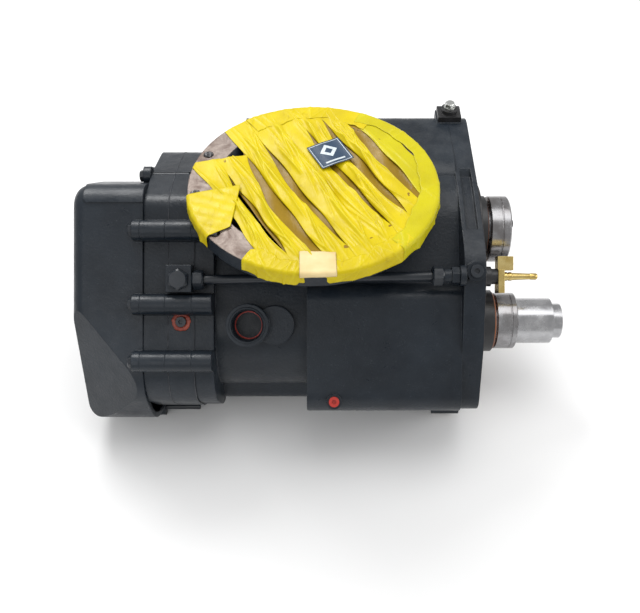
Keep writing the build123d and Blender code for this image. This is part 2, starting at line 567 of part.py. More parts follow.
def ball_cage(axis):
    solid = ring(*axis, BALL_PATH + 2, BALL_PATH - 2, THRUST_X0 + 2, SPACER_X - 2)
    for y, z in spots_in_circle(axis, BALL_PATH, BALL_COUNT):
        solid = solid - Solid.make_sphere(BALL_R + 0.1, Plane((THRUST_MID, y, z)))
    return one(solid)


# ---- oil line, plugs and small parts -------------------------------------------------------
def pipe_end(x, t, n):
    return Vector(x, *place(t, n))


def oil_pipe():
    """Straight tube between its two nuts, seated in the banjo's stub and the stud fitting."""
    a, b = pipe_end(PIPE_X0 + 0.5, PIPE_T0, PIPE_N0), pipe_end(PIPE_X1 - 0.5, PIPE_T1, PIPE_N1)
    along = (b - a).normalized()
    bore = Solid.make_cylinder(PIPE_R - 1.5, (b - a).length + 2, Plane(a - along, z_dir=along))
    return one(Solid.make_cylinder(PIPE_R, (b - a).length, Plane(a, z_dir=along)) - bore)


def pipe_nut(x, t, n):
    y, z = place(t, n)
    end = x + PIPE_NUT_L
    return one(hex_rod(y, z, PIPE_NUT_AF, x, end) - rod(y, z, PIPE_R + 0.5, x - 1, end + 1))


def banjo_block():
    y, z = place(PIPE_T0, PLATE_FRONT_N)
    out = Vector(0, -CT, ST)
    up = Vector(0, ST, CT)
    corner = Vector(BANJO_X - 22, y, z) - up * 21
    block = Solid.make_box(44, 46, BANJO_T, Plane(corner, x_dir=(1, 0, 0), z_dir=out))
    stub = rod(*place(PIPE_T0, PIPE_N0), 11, BANJO_X + 20, PIPE_X0)
    top = PLATE_FRONT_N + BANJO_T
    return one(block + stub - leaning_post(BANJO_X, PIPE_T0, 8.3, PLATE_FRONT_N - 1, top + 1))


def banjo_bolt():
    top = PLATE_FRONT_N + BANJO_T
    return leaning_hex(BANJO_X, PIPE_T0, 32, top, top + 11) + leaning_post(
        BANJO_X, PIPE_T0, 8, PLATE_FRONT_N - 28, top + 1)


def stud_fitting():
    """Straight fitting screwed into the drive flange's rear face."""
    y, z = place(PIPE_T1, PIPE_N1)
    solid = rod(y, z, 12, PIPE_X1, PIPE_BOSS_X) + hex_rod(y, z, 27, PIPE_BOSS_X - 14, PIPE_BOSS_X)
    return one(solid + rod(y, z, 8, PIPE_BOSS_X - 1, -FLANGE_T + 5))


def plug(x, t, r, n, head):
    """A socket-head plug screwed into the leaning front."""
    solid = leaning_post(x, t, r, n, n + head) + leaning_post(x, t, r * 0.72, n - 12, n + 1)
    return one(solid - leaning_hex(x, t, r * 0.8, n + head - 4, n + head + 1))


def jet_adapter():
    return one(rod(*JET, 18, 0, 26) + rod(*JET, 14, 25, JET_X) + rod(*JET, 8.5, -26, 1))


def jet_block():
    """Brass plate with a raised manifold beside the nozzle."""
    plate_part = leaning_box(JET_X, JET_X + 11, JET_T - 30, JET_T + 12, JET_N - 16, JET_N + 16)
    return one(plate_part + leaning_box(JET_X, JET_X + 28, JET_T + 11, JET_T + 36, JET_N - 14, JET_N + 10))


def jet_nozzle():
    y, z = JET
    tip = Solid.make_cone(8, 5.2, JET_END - JET_X - 11, Plane((JET_X + 11, y, z), z_dir=(1, 0, 0)))
    return one(tip - rod(y, z, 2.5, JET_END - 20, JET_END + 1))


def port_seal():
    """Sealing ring left in the front port's foot."""
    n0, n1 = PORT_N - PORT_DEPTH - PORT_SEAL_T, PORT_N - PORT_DEPTH
    return one(leaning_post(PORT_X, PORT_T, PORT_SEAL_R - 0.1, n0, n1)
               - leaning_post(PORT_X, PORT_T, PORT_SEAL_IN_R, n0 - 1, n1 + 1))


def clamp():
    solid = box(CLAMP_X - 22, CLAMP_X + 22, CLAMP_Y - 18, CLAMP_Y + 18, CLAMP_Z, CLAMP_Z + 11)
    solid = solid + post(CLAMP_X, CLAMP_Y, 15, CLAMP_Z + 10, CLAMP_Z + 20)
    return one(solid - post(CLAMP_X, CLAMP_Y, CLAMP_HOLE_R, CLAMP_Z - 1, CLAMP_Z + 21))


def clamp_bolt():
    head = hex_up(CLAMP_X, CLAMP_Y, 17, CLAMP_Z + 24, CLAMP_Z + 32)
    return head + post(CLAMP_X, CLAMP_Y, 5, CLAMP_Z - 20, CLAMP_Z + 25)


def flat_sheet(spots, z0, thick):
    wire = Wire.make_polygon([Vector(INLET_X + x, INLET_Y + y, z0) for x, y in spots])
    return Solid.extrude(Face(wire), Vector(0, 0, thick))


def inlet_tape():
    """Masking strips across the inlet bore, with its rear left quarter left bare."""
    disc = post(INLET_X, INLET_Y, TAPE_R, INLET_Z, INLET_Z + TAPE_T)
    bare = flat_sheet([(-139, 250), (-139, 170), (-95, 66), (-250, 66), (-250, 250)], INLET_Z - 1, 4)
    return one(disc - bare)


def inlet_label():
    """Square label stuck on the tape."""
    spots = [polar(LABEL_AT, LABEL_HALF * 2 ** 0.5, LABEL_TURN + 45 + 90 * k) for k in range(4)]
    return flat_sheet(spots, INLET_Z + TAPE_T, LABEL_T)


def build_all():
    axes = {"female": FEMALE, "male": MALE}
    parts = {
        "rotor_housing": rotor_housing(),
        "discharge_end_plate": discharge_end_plate(),
        "thrust_bearing_housing": thrust_bearing_housing(),
        "timing_gear_cover": timing_gear_cover(),
        "female_bearing_cap": drive_cap(FEMALE, *DRIVE_CAP_HUBS["female"]),
        "male_bearing_cap": drive_cap(MALE, *DRIVE_CAP_HUBS["male"]),
        "female_rotor": female_rotor(),
        "male_rotor": male_rotor(),
        "female_timing_gear": timing_gear(FEMALE, FEMALE_PITCH, FEMALE_TEETH, CENTRES_TILT),
        "male_timing_gear": timing_gear(MALE, MALE_PITCH, MALE_TEETH,
                                        CENTRES_TILT + 180 + 180 / MALE_TEETH),
        "drive_sleeve": ring(*FEMALE, SLEEVE_R, SLEEVE_SEAT_R, SLEEVE_X0, SLEEVE_X1),
        "male_end_collar": ring(*MALE, COLLAR_R, SLEEVE_SEAT_R, COLLAR_X0, COLLAR_X1),
        "oil_pipe": oil_pipe(),
        "oil_pipe_nuts": [pipe_nut(PIPE_X0, PIPE_T0, PIPE_N0),
                          pipe_nut(PIPE_X1 - PIPE_NUT_L, PIPE_T1, PIPE_N1)],
        "banjo_block": banjo_block(),
        "banjo_bolt": banjo_bolt(),
        "stud_fitting": stud_fitting(),
        "oil_jet_adapter": jet_adapter(),
        "oil_jet_block": jet_block(),
        "oil_jet_nozzle": jet_nozzle(),
        "flange_plug": plug(RIM_BOSS_X, RIM_BOSS_T, 11.0, RIM_BOSS_N, 6),
        "sealed_plug": plug(BANJO_X, SEALED_T, 9.0, PLATE_FRONT_N, 7),
        "jacket_plug": plug(JACKET_PLUG_X, JACKET_PLUG_T, 9.0, JACKET_PLUG_N, 4),
        "port_seal": port_seal(),
        "clamp": clamp(),
        "clamp_bolt": clamp_bolt(),
        "clamp_washer": one(post(CLAMP_X, CLAMP_Y, 11, CLAMP_Z + 20, CLAMP_Z + 24)
                            - post(CLAMP_X, CLAMP_Y, CLAMP_HOLE_R, CLAMP_Z + 19, CLAMP_Z + 25)),
        "inlet_tape": inlet_tape(),
        "inlet_label": inlet_label(),
        "dowel_pins": [rod(*spot, DOWEL_R, END_X - 14, END_X + 14) for spot in DOWEL_SPOTS],
        "casing_bolts": [bolt(y, z, COVER_X - LOBE_SEAT, LOBE_SEAT - COVER_X + END_X + 20)
                         for y, z in FRONT_BOLTS]
                        + [bolt(y, z, COVER_X, END_X - COVER_X + 20) for y, z in BACK_BOLTS],
        "cover_bolts": [bolt(y, z, COVER_X - LOBE_SEAT, LOBE_SEAT + SPACER_T + 26)
                        for y, z in COVER_BOLTS],
        "female_end_screw": rod(*FEMALE, 7.5, DRIVE_END, DRIVE_END + 7)
                            + rod(*FEMALE, END_SCREW_R, DRIVE_END - 24, DRIVE_END + 1),
        "male_end_plate": male_end_plate(),
        "male_end_screws": [rod(y, z, 6.5, COLLAR_X1 + 6, COLLAR_X1 + 11)
                            + rod(y, z, PLATE_SCREW_R, COLLAR_X1 - 20, COLLAR_X1 + 7)
                            for y, z in plate_screw_spots()],
        "roller_outer_rings": [roller_outer(a, x) for a in axes.values()
                               for x in (DRIVE_BEARING_X0, SPACER_X)],
        "thrust_outer_rings": [thrust_outer(a) for a in axes.values()],
        "bearing_cap_screws": [rod(y, z, CAP_SCREW_R * 1.8, DRIVE_CAP_T - 4, DRIVE_CAP_T)
                               + rod(y, z, CAP_SCREW_R, -14, DRIVE_CAP_T - 3)
                               for a in axes.values() for y, z in cap_screw_spots(a)],
    }
    seal_w = (DRIVE_WALL - SEAL_SEAT + DRIVE_BEARING_X0) / DRIVE_SEAL_RINGS
    for name, axis in axes.items():
        first = -DRIVE_WALL + SEAL_SEAT
        parts[name + "_drive_seal"] = [ring(*axis, SEAL_OD_R, JOURNAL_R + SHAFT_GAP, first + k * seal_w,
                                            first + (k + 1) * seal_w) for k in range(DRIVE_SEAL_RINGS)]
        parts[name + "_discharge_seal"] = ring(*axis, SEAL_OD_R, JOURNAL_R + SHAFT_GAP,
                                               SPACER_X + ROLLER_W, END_X - 3)
        hub_x = DRIVE_CAP_HUBS[name][1]
        parts[name + "_lip_seal"] = ring(*axis, LIP_R, JOURNAL_R + SHAFT_GAP, hub_x - LIP_W,
                                         hub_x + LIP_PROUD)
        parts[name + "_inner_rings"] = [roller_inner(axis, DRIVE_BEARING_X0), roller_inner(axis, SPACER_X),
                                        thrust_inner(axis)]
        parts[name + "_gear_spacer"] = ring(*axis, SPACER_SLEEVE_R, THRUST_SEAT_R, GEAR_X1, THRUST_X0)
        parts[name + "_locknut"] = locknut(axis)
        for end, x0 in (("drive", DRIVE_BEARING_X0), ("rear", SPACER_X)):
            parts[f"{name}_{end}_rollers"] = [roller_cage(axis, x0)] + rollers(axis, x0)
        parts[name + "_thrust_balls"] = [ball_cage(axis)] + balls(axis)
    return parts


if __name__ == "__main__":
    os.makedirs("parts", exist_ok=True)
    for name, solids in build_all().items():
        save(name, solids)
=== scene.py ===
"""Looks of an oil-free twin-screw compressor air end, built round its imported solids.

Metres, in the frame of the solids: +X out of the drive end, +Z out of the inlet flange.
"""
import json
from math import cos, pi, radians, sin

import bmesh
import bpy
import numpy as np
from bpy.props import FloatProperty, FloatVectorProperty, IntProperty, PointerProperty
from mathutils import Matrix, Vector


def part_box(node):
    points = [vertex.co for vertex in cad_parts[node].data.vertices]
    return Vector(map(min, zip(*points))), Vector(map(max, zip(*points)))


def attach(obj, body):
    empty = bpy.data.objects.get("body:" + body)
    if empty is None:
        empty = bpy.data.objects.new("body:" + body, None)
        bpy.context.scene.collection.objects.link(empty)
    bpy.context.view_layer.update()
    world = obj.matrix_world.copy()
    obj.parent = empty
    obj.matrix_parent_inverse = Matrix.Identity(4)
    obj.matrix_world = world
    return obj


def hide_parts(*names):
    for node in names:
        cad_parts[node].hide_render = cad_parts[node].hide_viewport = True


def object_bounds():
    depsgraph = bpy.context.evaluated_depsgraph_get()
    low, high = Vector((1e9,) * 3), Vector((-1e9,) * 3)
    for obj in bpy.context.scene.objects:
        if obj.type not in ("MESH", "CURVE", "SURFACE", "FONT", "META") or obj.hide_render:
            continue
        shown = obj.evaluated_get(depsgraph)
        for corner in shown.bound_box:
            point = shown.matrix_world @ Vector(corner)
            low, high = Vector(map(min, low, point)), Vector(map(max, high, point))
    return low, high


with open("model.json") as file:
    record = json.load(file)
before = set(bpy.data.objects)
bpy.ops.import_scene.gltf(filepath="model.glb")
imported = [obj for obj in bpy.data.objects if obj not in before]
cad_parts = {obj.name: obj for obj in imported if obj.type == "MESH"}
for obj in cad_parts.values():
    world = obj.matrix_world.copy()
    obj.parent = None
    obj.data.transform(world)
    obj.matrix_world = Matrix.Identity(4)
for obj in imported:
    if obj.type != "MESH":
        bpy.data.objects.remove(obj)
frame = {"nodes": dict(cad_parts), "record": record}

bl_info = {
    "name": "Screw compressor air end",
    "version": (1, 0, 0),
    "blender": (4, 5, 0),
    "location": "View3D > Sidebar > Air end",
    "description": "Surfaces, masking tape and finishes of a dry screw compressor element",
    "category": "Add Mesh",
}

NODES = frame["nodes"]
CAD_LOW, CAD_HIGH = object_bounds()
SLOPE = radians(49.5)
FEMALE, MALE = np.array((0.0, 0.0)), 0.175 * np.array((cos(radians(36.8)), sin(radians(36.8))))
INLET = np.array((-0.294, 0.090, 0.264))
RIM_R, BORE_R = 0.215, 0.168
ALONG = np.array((0.49, -0.872))      # run of the tape strips across the inlet
ACROSS = np.array((0.872, 0.49))
PORT_X, BANJO_X, COVER_X = -0.407, -0.522, -0.588       # places along the casing
INLET_CIRCLE_R, DRIVE_CIRCLE_R = 0.2015, 0.130          # radii of the flanges' hole circles
FRONT_BOLT_T, BOLT_N = (0.157, 0.030, -0.068), 0.152    # the front casing bolts
LOBE = 0.014                                            # bolt centres outside the cover's wall


# ---- shapes --------------------------------------------------------------------------------
def front(t, n):
    """(y, z) of a point at height t up the leaning front and n out from it, in metres."""
    return np.array((sin(SLOPE) * t - cos(SLOPE) * n, cos(SLOPE) * t + sin(SLOPE) * n))


LEAN = np.array((0.0, -cos(SLOPE), sin(SLOPE)))


def quads_of(grid, wrap_u=False, wrap_v=False):
    """Points and faces of a grid: each cell is one face, and a wrapped side joins its end to its start."""
    index = np.arange(grid.shape[0] * grid.shape[1]).reshape(grid.shape[:2])
    if wrap_u:
        index = np.concatenate([index, index[:1]])
    if wrap_v:
        index = np.concatenate([index, index[:, :1]], axis=1)
    faces = np.stack([index[:-1, :-1], index[1:, :-1], index[1:, 1:], index[:-1, 1:]], axis=-1)
    return grid.reshape(-1, 3), faces.reshape(-1, 4)


def make_piece(name, parts, material, body, closed=True, sharp=32.0, attribute=None):
    """Join point and face arrays into one mesh object at the origin that rides on a body."""
    points = np.concatenate([p for p, _ in parts])
    starts = np.cumsum([0] + [len(p) for p, _ in parts[:-1]])
    faces = np.concatenate([f + s for (_, f), s in zip(parts, starts)])
    mesh = bpy.data.meshes.new(name)
    mesh.from_pydata(points.tolist(), [], faces.tolist())
    if attribute is not None:
        layer = mesh.attributes.new(attribute[0], "FLOAT", "POINT")
        layer.data.foreach_set("value", attribute[1].astype(np.float32))
    if closed:
        work = bmesh.new()
        work.from_mesh(mesh)
        bmesh.ops.remove_doubles(work, verts=work.verts, dist=2e-6)
        bmesh.ops.dissolve_degenerate(work, edges=work.edges, dist=1e-7)
        bmesh.ops.recalc_face_normals(work, faces=work.faces)
        work.to_mesh(mesh)
        work.free()
    mesh.polygons.foreach_set("use_smooth", np.ones(len(mesh.polygons), bool))
    mesh.set_sharp_from_angle(angle=radians(sharp))
    mesh.materials.append(material)
    piece = bpy.data.objects.new(name, mesh)
    bpy.context.scene.collection.objects.link(piece)
    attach(piece, body)
    return piece


def square_to(axis):
    """Two unit vectors square to an axis, the first as near +X or +Y as may be."""
    axis = np.asarray(axis, float)
    first = np.array((1.0, 0, 0)) if abs(axis[0]) < 0.9 else np.array((0, 1.0, 0))
    first = first - axis * first.dot(axis)
    first /= np.linalg.norm(first)
    return first, np.cross(axis, first)


def turned(profile, foot, axis, steps=96, wrap=True, hexagon=None):
    """A profile of (height, radius) carried round an axis: the point at angle a is
    foot + height * axis + radius * (cos a * first + sin a * second).
    With a hexagon, the radius is the smaller of the profile's and half the width across flats over
    the cosine of the angle to the nearest flat's middle."""
    profile = np.asarray(profile, float)
    angles = np.linspace(0, 2 * pi, steps, endpoint=False)
    radius = np.repeat(profile[:, 1:2], steps, axis=1)
    if hexagon is not None:
        flat = (angles + pi / 6) % (pi / 3) - pi / 6
        radius = np.minimum(radius, hexagon / 2 / np.cos(flat))
    first, second = square_to(axis)
    grid = (np.asarray(foot, float) + profile[:, None, 0:1] * np.asarray(axis, float)
            + radius[..., None] * (np.cos(angles)[:, None] * first + np.sin(angles)[:, None] * second))
    return quads_of(grid, wrap_u=wrap, wrap_v=True)


def hex_head(foot, axis, across, height, shank_r, shank_l):
    """Chamfered hexagon head with a washer face and a shank, from the seat outwards."""
    r = across / 2 / cos(pi / 6)
    profile = [(-shank_l, 0), (-shank_l, shank_r - 0.0008), (-shank_l + 0.0008, shank_r), (0, shank_r),
               (0, across * 0.47), (0.0006, across * 0.47), (0.0006, r), (height - 0.16 * r, r),
               (height, across * 0.44), (height, 0)]
    return turned(profile, foot, axis, 72, wrap=False, hexagon=across)


def internal_thread(foot, axis, radius, pitch, turns, depth, steps=48):
    """Thread in a hole: a zigzag of one pitch carried along a helix, whose radius falls from the wall
    by the depth at mid pitch and comes back to the wall."""
    angle = np.linspace(0, 2 * pi * turns, int(turns * steps) + 1)
    zigzag = np.array(((0.0, 0.0), (0.30, 0.8), (0.5, 1.0), (0.70, 0.8), (1.0, 0.0)))
    first, second = square_to(axis)
    r = radius - depth * zigzag[:, 1] + 0.00005
    height = pitch * (angle[:, None] / (2 * pi) + zigzag[None, :, 0])
    grid = (np.asarray(foot, float) + height[..., None] * np.asarray(axis, float)
            + r[None, :, None] * (np.cos(angle)[:, None, None] * first + np.sin(angle)[:, None, None] * second))
    return quads_of(grid)


def outline_of(circles, count=900):
    """Points spaced evenly along the belt round some circles (y, z, r): for each direction the
    belt's point is the one that is furthest that way on any circle, less what a straight run skips."""
    angle = np.linspace(0, 2 * pi, 4000, endpoint=False)
    way = np.stack([np.cos(angle), np.sin(angle)], axis=1)
    circles = np.asarray(circles, float)
    reach = way @ circles[:, :2].T + circles[:, 2]
    best = reach.argmax(axis=1)
    points = circles[best, :2] + circles[best, 2:3] * way
    points = np.concatenate([points, points[:1]])
    length = np.concatenate([[0], np.cumsum(np.linalg.norm(np.diff(points, axis=0), axis=1))])
    at = np.linspace(0, length[-1], count, endpoint=False)
    return np.stack([np.interp(at, length, points[:, 0]), np.interp(at, length, points[:, 1])], axis=1)


# ---- masking tape --------------------------------------------------------------------------
def flap_length(x, y):
    """How far the tape is folded down the rim: about 22 mm, and nothing where the paper patch is."""
    bare = np.exp(-((x - 0.001) / 0.021) ** 6) * (y < 0)
    angle = np.arctan2(y, x)
    return (0.021 + 0.0022 * np.sin(7 * angle + 1) + 0.0013 * np.sin(19 * angle)) * (1 - bare)


def fold_over(x, y, lift, sag, folds):
    """Lay flat points on the flange. Up to the rim a point keeps its place; past it the surplus turns
    a 3 mm bend and runs down the side. Over the bore it sinks by sag * (1 - (r / bore) ** 2)."""
    r = np.hypot(x, y)
    bend = 0.003
    edge = RIM_R - bend
    over = np.clip(r - edge, 0, None)
    turn = np.minimum(over / bend, pi / 2)
    down = bend * (1 - np.cos(turn)) + np.clip(over - bend * pi / 2, 0, None)
    out = np.minimum(r, edge) + bend * np.sin(turn) * (r > edge)
    angle = np.arctan2(y, x)
    pleat = (1 - np.abs(np.sin(11.5 * angle + 2 * np.sin(3 * angle)))) ** 4
    flare = down / 0.022 * (0.0005 + 0.0026 * pleat + 0.0008 * np.sin(29 * angle + 1))
    out = out + (lift + folds * 0.5) * np.sin(turn) + np.clip(flare, 0, None)
    hollow = sag * np.clip(1 - (r / BORE_R) ** 2, 0, None)
    z = (lift + folds) * np.cos(turn) - down - hollow
    share = out / np.maximum(r, 1e-9)
    return np.stack([INLET[0] + x * share, INLET[1] + y * share, INLET[2] + z], axis=-1)


def pinch_folds(rng, x, y, q, run, count, height):
    """Sum of pinched folds: each is height * exp(-distance / width) from a line that drifts across the
    strip as it runs, and it fades in and out along the run. They flatten on the flange and the label."""
    r = np.hypot(x, y)
    total = np.zeros_like(x)
    for _ in range(count):
        centre, drift = rng.uniform(q.min(), q.max()), rng.normal(0, 0.012)
        middle, reach = rng.uniform(run.min() * 0.8, run.max() * 0.8), rng.uniform(0.035, 0.13)
        width, tall = rng.uniform(0.0012, 0.0036), height * rng.uniform(0.3, 1.0)
        line = centre + drift * (run - middle) / 0.1 + 0.0016 * np.sin(run / 0.028 + centre * 90)
        total += tall * np.exp(-np.abs(q - line) / width) * np.exp(-((run - middle) / reach) ** 4)
    over_bore = 0.28 + 0.72 * np.clip((0.180 - r) / 0.02, 0, 1)
    label = 1 - 0.96 * np.exp(-(np.hypot(x - 0.030, y - 0.080) / 0.046) ** 6)
    return np.minimum(total, height * 1.3) * over_bore * label


def laid_strip(seed, ends, middle, lift, sag, height, start=None, steps=(250, 44), bow=0.0):
    """One strip of tape. Across it runs from ends[0] to ends[1] at the rim and from middle[0] to
    middle[1] half way, by a sine of the share run; along it goes from rim to rim with a folded flap
    at each end, or from a cut end at start."""
    rng = np.random.default_rng(seed)
    s, t = np.meshgrid(np.linspace(0, 1, steps[0]), np.linspace(0, 1, steps[1]), indexing="ij")
    gather = np.clip(np.sin(pi * s), 0, 1) ** 0.8
    low = ends[0] + (middle[0] - ends[0]) * gather + 0.0016 * np.sin(s * 21 + seed)
    high = ends[1] + (middle[1] - ends[1]) * gather + 0.0016 * np.sin(s * 17 + 2 * seed)
    q = low + (high - low) * t + bow * gather
    reach = np.sqrt(np.clip(RIM_R ** 2 - q ** 2, 0.02 ** 2, None))
    first, last = -reach, reach
    flap0 = flap_length(ALONG[0] * first + ACROSS[0] * q, ALONG[1] * first + ACROSS[1] * q)
    flap1 = flap_length(ALONG[0] * last + ACROSS[0] * q, ALONG[1] * last + ACROSS[1] * q)
    begin = first - flap0 if start is None else start[0] + (start[1] - start[0]) * t
    run = begin + (last + flap1 - begin) * s
    x, y = ALONG[0] * run + ACROSS[0] * q, ALONG[1] * run + ACROSS[1] * q
    folds = pinch_folds(rng, x, y, q, run, 17, height)
    folds = folds * np.clip(np.minimum(t, 1 - t) / 0.05, 0.1, 1)
    slack = sag * (1 + 0.25 * np.sin(run / 0.05 + seed) + 1.1 * (2 * t - 1) ** 2)
    grid = fold_over(x, y, lift, slack, folds)
    # share of each fold's height, which the tape's finish turns into a painted highlight on the crests
    fold_crest_light = np.clip(folds / max(height, 1e-6), 0, 1)
    return grid, fold_crest_light


def rim_strip(seed, angles, inner, lift, height, steps=(170, 26)):
    """Tape round part of the rim: radius runs from inner to the flap's end, over a span of angle."""
    rng = np.random.default_rng(seed)
    s, t = np.meshgrid(np.linspace(0, 1, steps[0]), np.linspace(0, 1, steps[1]), indexing="ij")
    angle = radians(angles[0]) + radians(angles[1] - angles[0]) * s
    edge = RIM_R + flap_length(RIM_R * np.cos(angle), RIM_R * np.sin(angle))
    ragged = 0.005 * np.sin(s * 7 + seed) + 0.0022 * np.sin(s * 23 + 3 * seed) + 0.0009 * np.sin(s * 71)
    r = (inner + ragged) * (1 - t) + edge * t
    x, y = r * np.cos(angle), r * np.sin(angle)
    q, run = angle * RIM_R, r - RIM_R
    folds = np.zeros_like(x)
    for _ in range(14):
        line, width = rng.uniform(q.min(), q.max()), rng.uniform(0.0009, 0.0024)
        lean = rng.normal(0, 1.2)
        folds += height * rng.uniform(0.3, 1) * np.exp(-np.abs(q - line - lean * run) / width)
    folds = np.minimum(folds, height) * np.clip(t / 0.06, 0.1, 1)
    # the second value is the share of fold height that the finish paints as a highlight on the crests
    return fold_over(x, y, lift, 0.001, folds), np.clip(folds / height, 0, 1)


def patch_of(corners, lift, steps=(50, 50), ripple=0.0006, seed=0):
    """A four-cornered piece laid flat: a blend of its corners by the two shares, on the flange."""
    s, t = np.meshgrid(np.linspace(0, 1, steps[0]), np.linspace(0, 1, steps[1]), indexing="ij")
    a, b, c, d = [np.array(p) for p in corners]
    spot = (a * ((1 - s) * (1 - t))[..., None] + b * (s * (1 - t))[..., None]
            + c * (s * t)[..., None] + d * ((1 - s) * t)[..., None])
    x, y = spot[..., 0], spot[..., 1]
    wave = ripple * (1 + np.sin(x * 170 + y * 90 + seed) * np.sin(y * 210 - x * 60 + 2 * seed))
    # the second value is the ripple's share, which the finish paints as a highlight on the crests
    return fold_over(x, y, lift, 0.002, wave), np.clip(wave / 0.002, 0, 1)


def tape_sheet(name, grid, fold_crest_light, material, thickness=0.00022):
    """A sheet piece from its grid, facing up, with its thickness."""
    points, faces = quads_of(grid)
    up = np.cross(grid[1:, :-1] - grid[:-1, :-1], grid[:-1, 1:] - grid[:-1, :-1])[..., 2].sum() > 0
    if not up:
        faces = faces[:, ::-1]
    # the fold height share rides along as a point attribute for the painted highlight on the crests
    piece = make_piece(name, [(points, faces)], material, "casing", closed=False,
                       sharp=180.0, attribute=("fold_crest_light", fold_crest_light.ravel()))
    thick = piece.modifiers.new("Thickness", "SOLIDIFY")
    thick.thickness, thick.offset = thickness, 1.0
    return piece


# ---- finishes ------------------------------------------------------------------------------
class Finish:
    """Adds and joins the nodes of one material round its shader."""

    def __init__(self, name, metallic=0.0, roughness=0.5, specular=0.5):
        self.material = bpy.data.materials.new(name)
        self.material.use_nodes = True
        self.tree = self.material.node_tree
        self.shader = next(n for n in self.tree.nodes if n.type == "BSDF_PRINCIPLED")
        self.shader.inputs["Metallic"].default_value = metallic
        self.shader.inputs["Roughness"].default_value = roughness
        self.shader.inputs["Specular IOR Level"].default_value = specular
        self.coordinates = self.add("ShaderNodeTexCoord").outputs["Object"]

    def add(self, kind, links=(), **values):
        node = self.tree.nodes.new(kind)
        for key, value in values.items():
            if hasattr(node, key):
                setattr(node, key, value)
        for socket, source in dict(links).items():
            if isinstance(source, bpy.types.NodeSocket):
                self.tree.links.new(source, node.inputs[socket])
            else:
                node.inputs[socket].default_value = source
        return node

    def noise(self, scale, detail=3.0, roughness=0.55, stretch=None, distortion=0.0):
        """Noise on Object coordinates, stretched if three factors are given."""
        source = self.coordinates
        if stretch:
            source = self.add("ShaderNodeMapping", {"Vector": source, "Scale": stretch}).outputs[0]
        return self.add("ShaderNodeTexNoise", {"Vector": source, "Scale": scale, "Detail": detail,
                                               "Roughness": roughness, "Distortion": distortion}).outputs["Fac"]

    def maths(self, operation, a, b=0.0, clamp=False):
        node = self.add("ShaderNodeMath", {0: a, 1: b}, operation=operation)
        node.use_clamp = clamp
        return node.outputs[0]

    def spread(self, source, low, high, to_low=0.0, to_high=1.0):
        """Map a value from low..high to to_low..to_high, held at the ends."""
        return self.add("ShaderNodeMapRange", {"Value": source, "From Min": low, "From Max": high,
                                               "To Min": to_low, "To Max": to_high}).outputs[0]

    def mixed(self, share, first, second):
        """A colour between two, each a colour or a socket."""
        node = self.add("ShaderNodeMix", data_type="RGBA")
        for key, value in ((0, share), (6, first), (7, second)):
            if isinstance(value, bpy.types.NodeSocket):
                self.tree.links.new(value, node.inputs[key])
            else:
                node.inputs[key].default_value = value if key == 0 else (*value, 1.0)
        return node.outputs[2]

    def blended(self, share, first, second):
        """A number between two."""
        node = self.add("ShaderNodeMix", data_type="FLOAT")
        for key, value in ((0, share), (2, first), (3, second)):
            if isinstance(value, bpy.types.NodeSocket):
                self.tree.links.new(value, node.inputs[key])
            else:
                node.inputs[key].default_value = value
        return node.outputs[0]

    def raised(self, height, distance, strength=1.0, normal=None):
        links = {"Height": height, "Distance": distance, "Strength": strength}
        if normal is not None:
            links["Normal"] = normal
        return self.add("ShaderNodeBump", links).outputs["Normal"]

    def rounded(self, radius):
        """Normal that softens the sharp edges of a plain solid."""
        return self.add("ShaderNodeBevel", {"Radius": radius}, samples=6).outputs["Normal"]

    def axis(self, index):
        return self.add("ShaderNodeSeparateXYZ", {0: self.coordinates}).outputs[index]

    def facing_up(self):
        normal = self.add("ShaderNodeNewGeometry").outputs["Normal"]
        return self.add("ShaderNodeSeparateXYZ", {0: normal}).outputs[2]

    def join(self, **sockets):
        for key, source in sockets.items():
            self.tree.links.new(source, self.shader.inputs[key.replace("_", " ")])
        return self.material


def casting_paint(name, dark, light, machined=False):
    """Satin paint over a sand casting: grain bump in two sizes, pale speckle on high spots, dust on
    what faces up, and bare machined faces where a joint face lies."""
    f = Finish(name, metallic=0.0, roughness=0.36, specular=0.32)
    grain, peel, broad = f.noise(620, 4, 0.6), f.noise(210, 2, 0.5), f.noise(7, 4, 0.6)
    colour = f.mixed(f.spread(broad, 0.35, 0.68), dark, light)
    speckle = f.spread(f.maths("MULTIPLY", f.spread(grain, 0.56, 0.72),
                               f.spread(f.noise(60, 3), 0.45, 0.7)),
                       0.0, 1.0, 0.0, 0.55)
    colour = f.mixed(speckle, colour, (0.075, 0.088, 0.105))
    dust = f.maths("MULTIPLY", f.spread(f.facing_up(), 0.75, 1.0),
                   f.spread(f.noise(34, 5, 0.7), 0.42, 0.75))
    colour = f.mixed(f.maths("MULTIPLY", dust, 0.16), colour, (0.12, 0.125, 0.13))
    rough = f.spread(f.noise(45, 4, 0.6), 0.3, 0.75, 0.26, 0.46)
    height = f.maths("ADD", f.maths("MULTIPLY", grain, 0.45), f.maths("MULTIPLY", peel, 0.9))
    normal = f.raised(height, 0.00075, 0.55, f.rounded(0.0028))
    metal = None
    if machined:
        bare = f.maths("MAXIMUM", f.maths("GREATER_THAN", f.axis(2), 0.26385),
                       f.maths("GREATER_THAN", f.axis(0), -0.00015))
        bare = f.maths("MAXIMUM", bare, f.maths("LESS_THAN", f.axis(2), -0.17485))
        stain = f.noise(26, 6, 0.7, distortion=0.6)
        steel = f.mixed(f.spread(stain, 0.38, 0.66), (0.115, 0.082, 0.068), (0.30, 0.255, 0.225))
        colour = f.mixed(bare, colour, steel)
        rough = f.blended(bare, rough, 0.48)
        metal = f.maths("MULTIPLY", bare, 0.55)
    sockets = {"Base_Color": colour, "Roughness": rough, "Normal": normal}
    if metal is not None:
        sockets["Metallic"] = metal
    return f.join(**sockets)


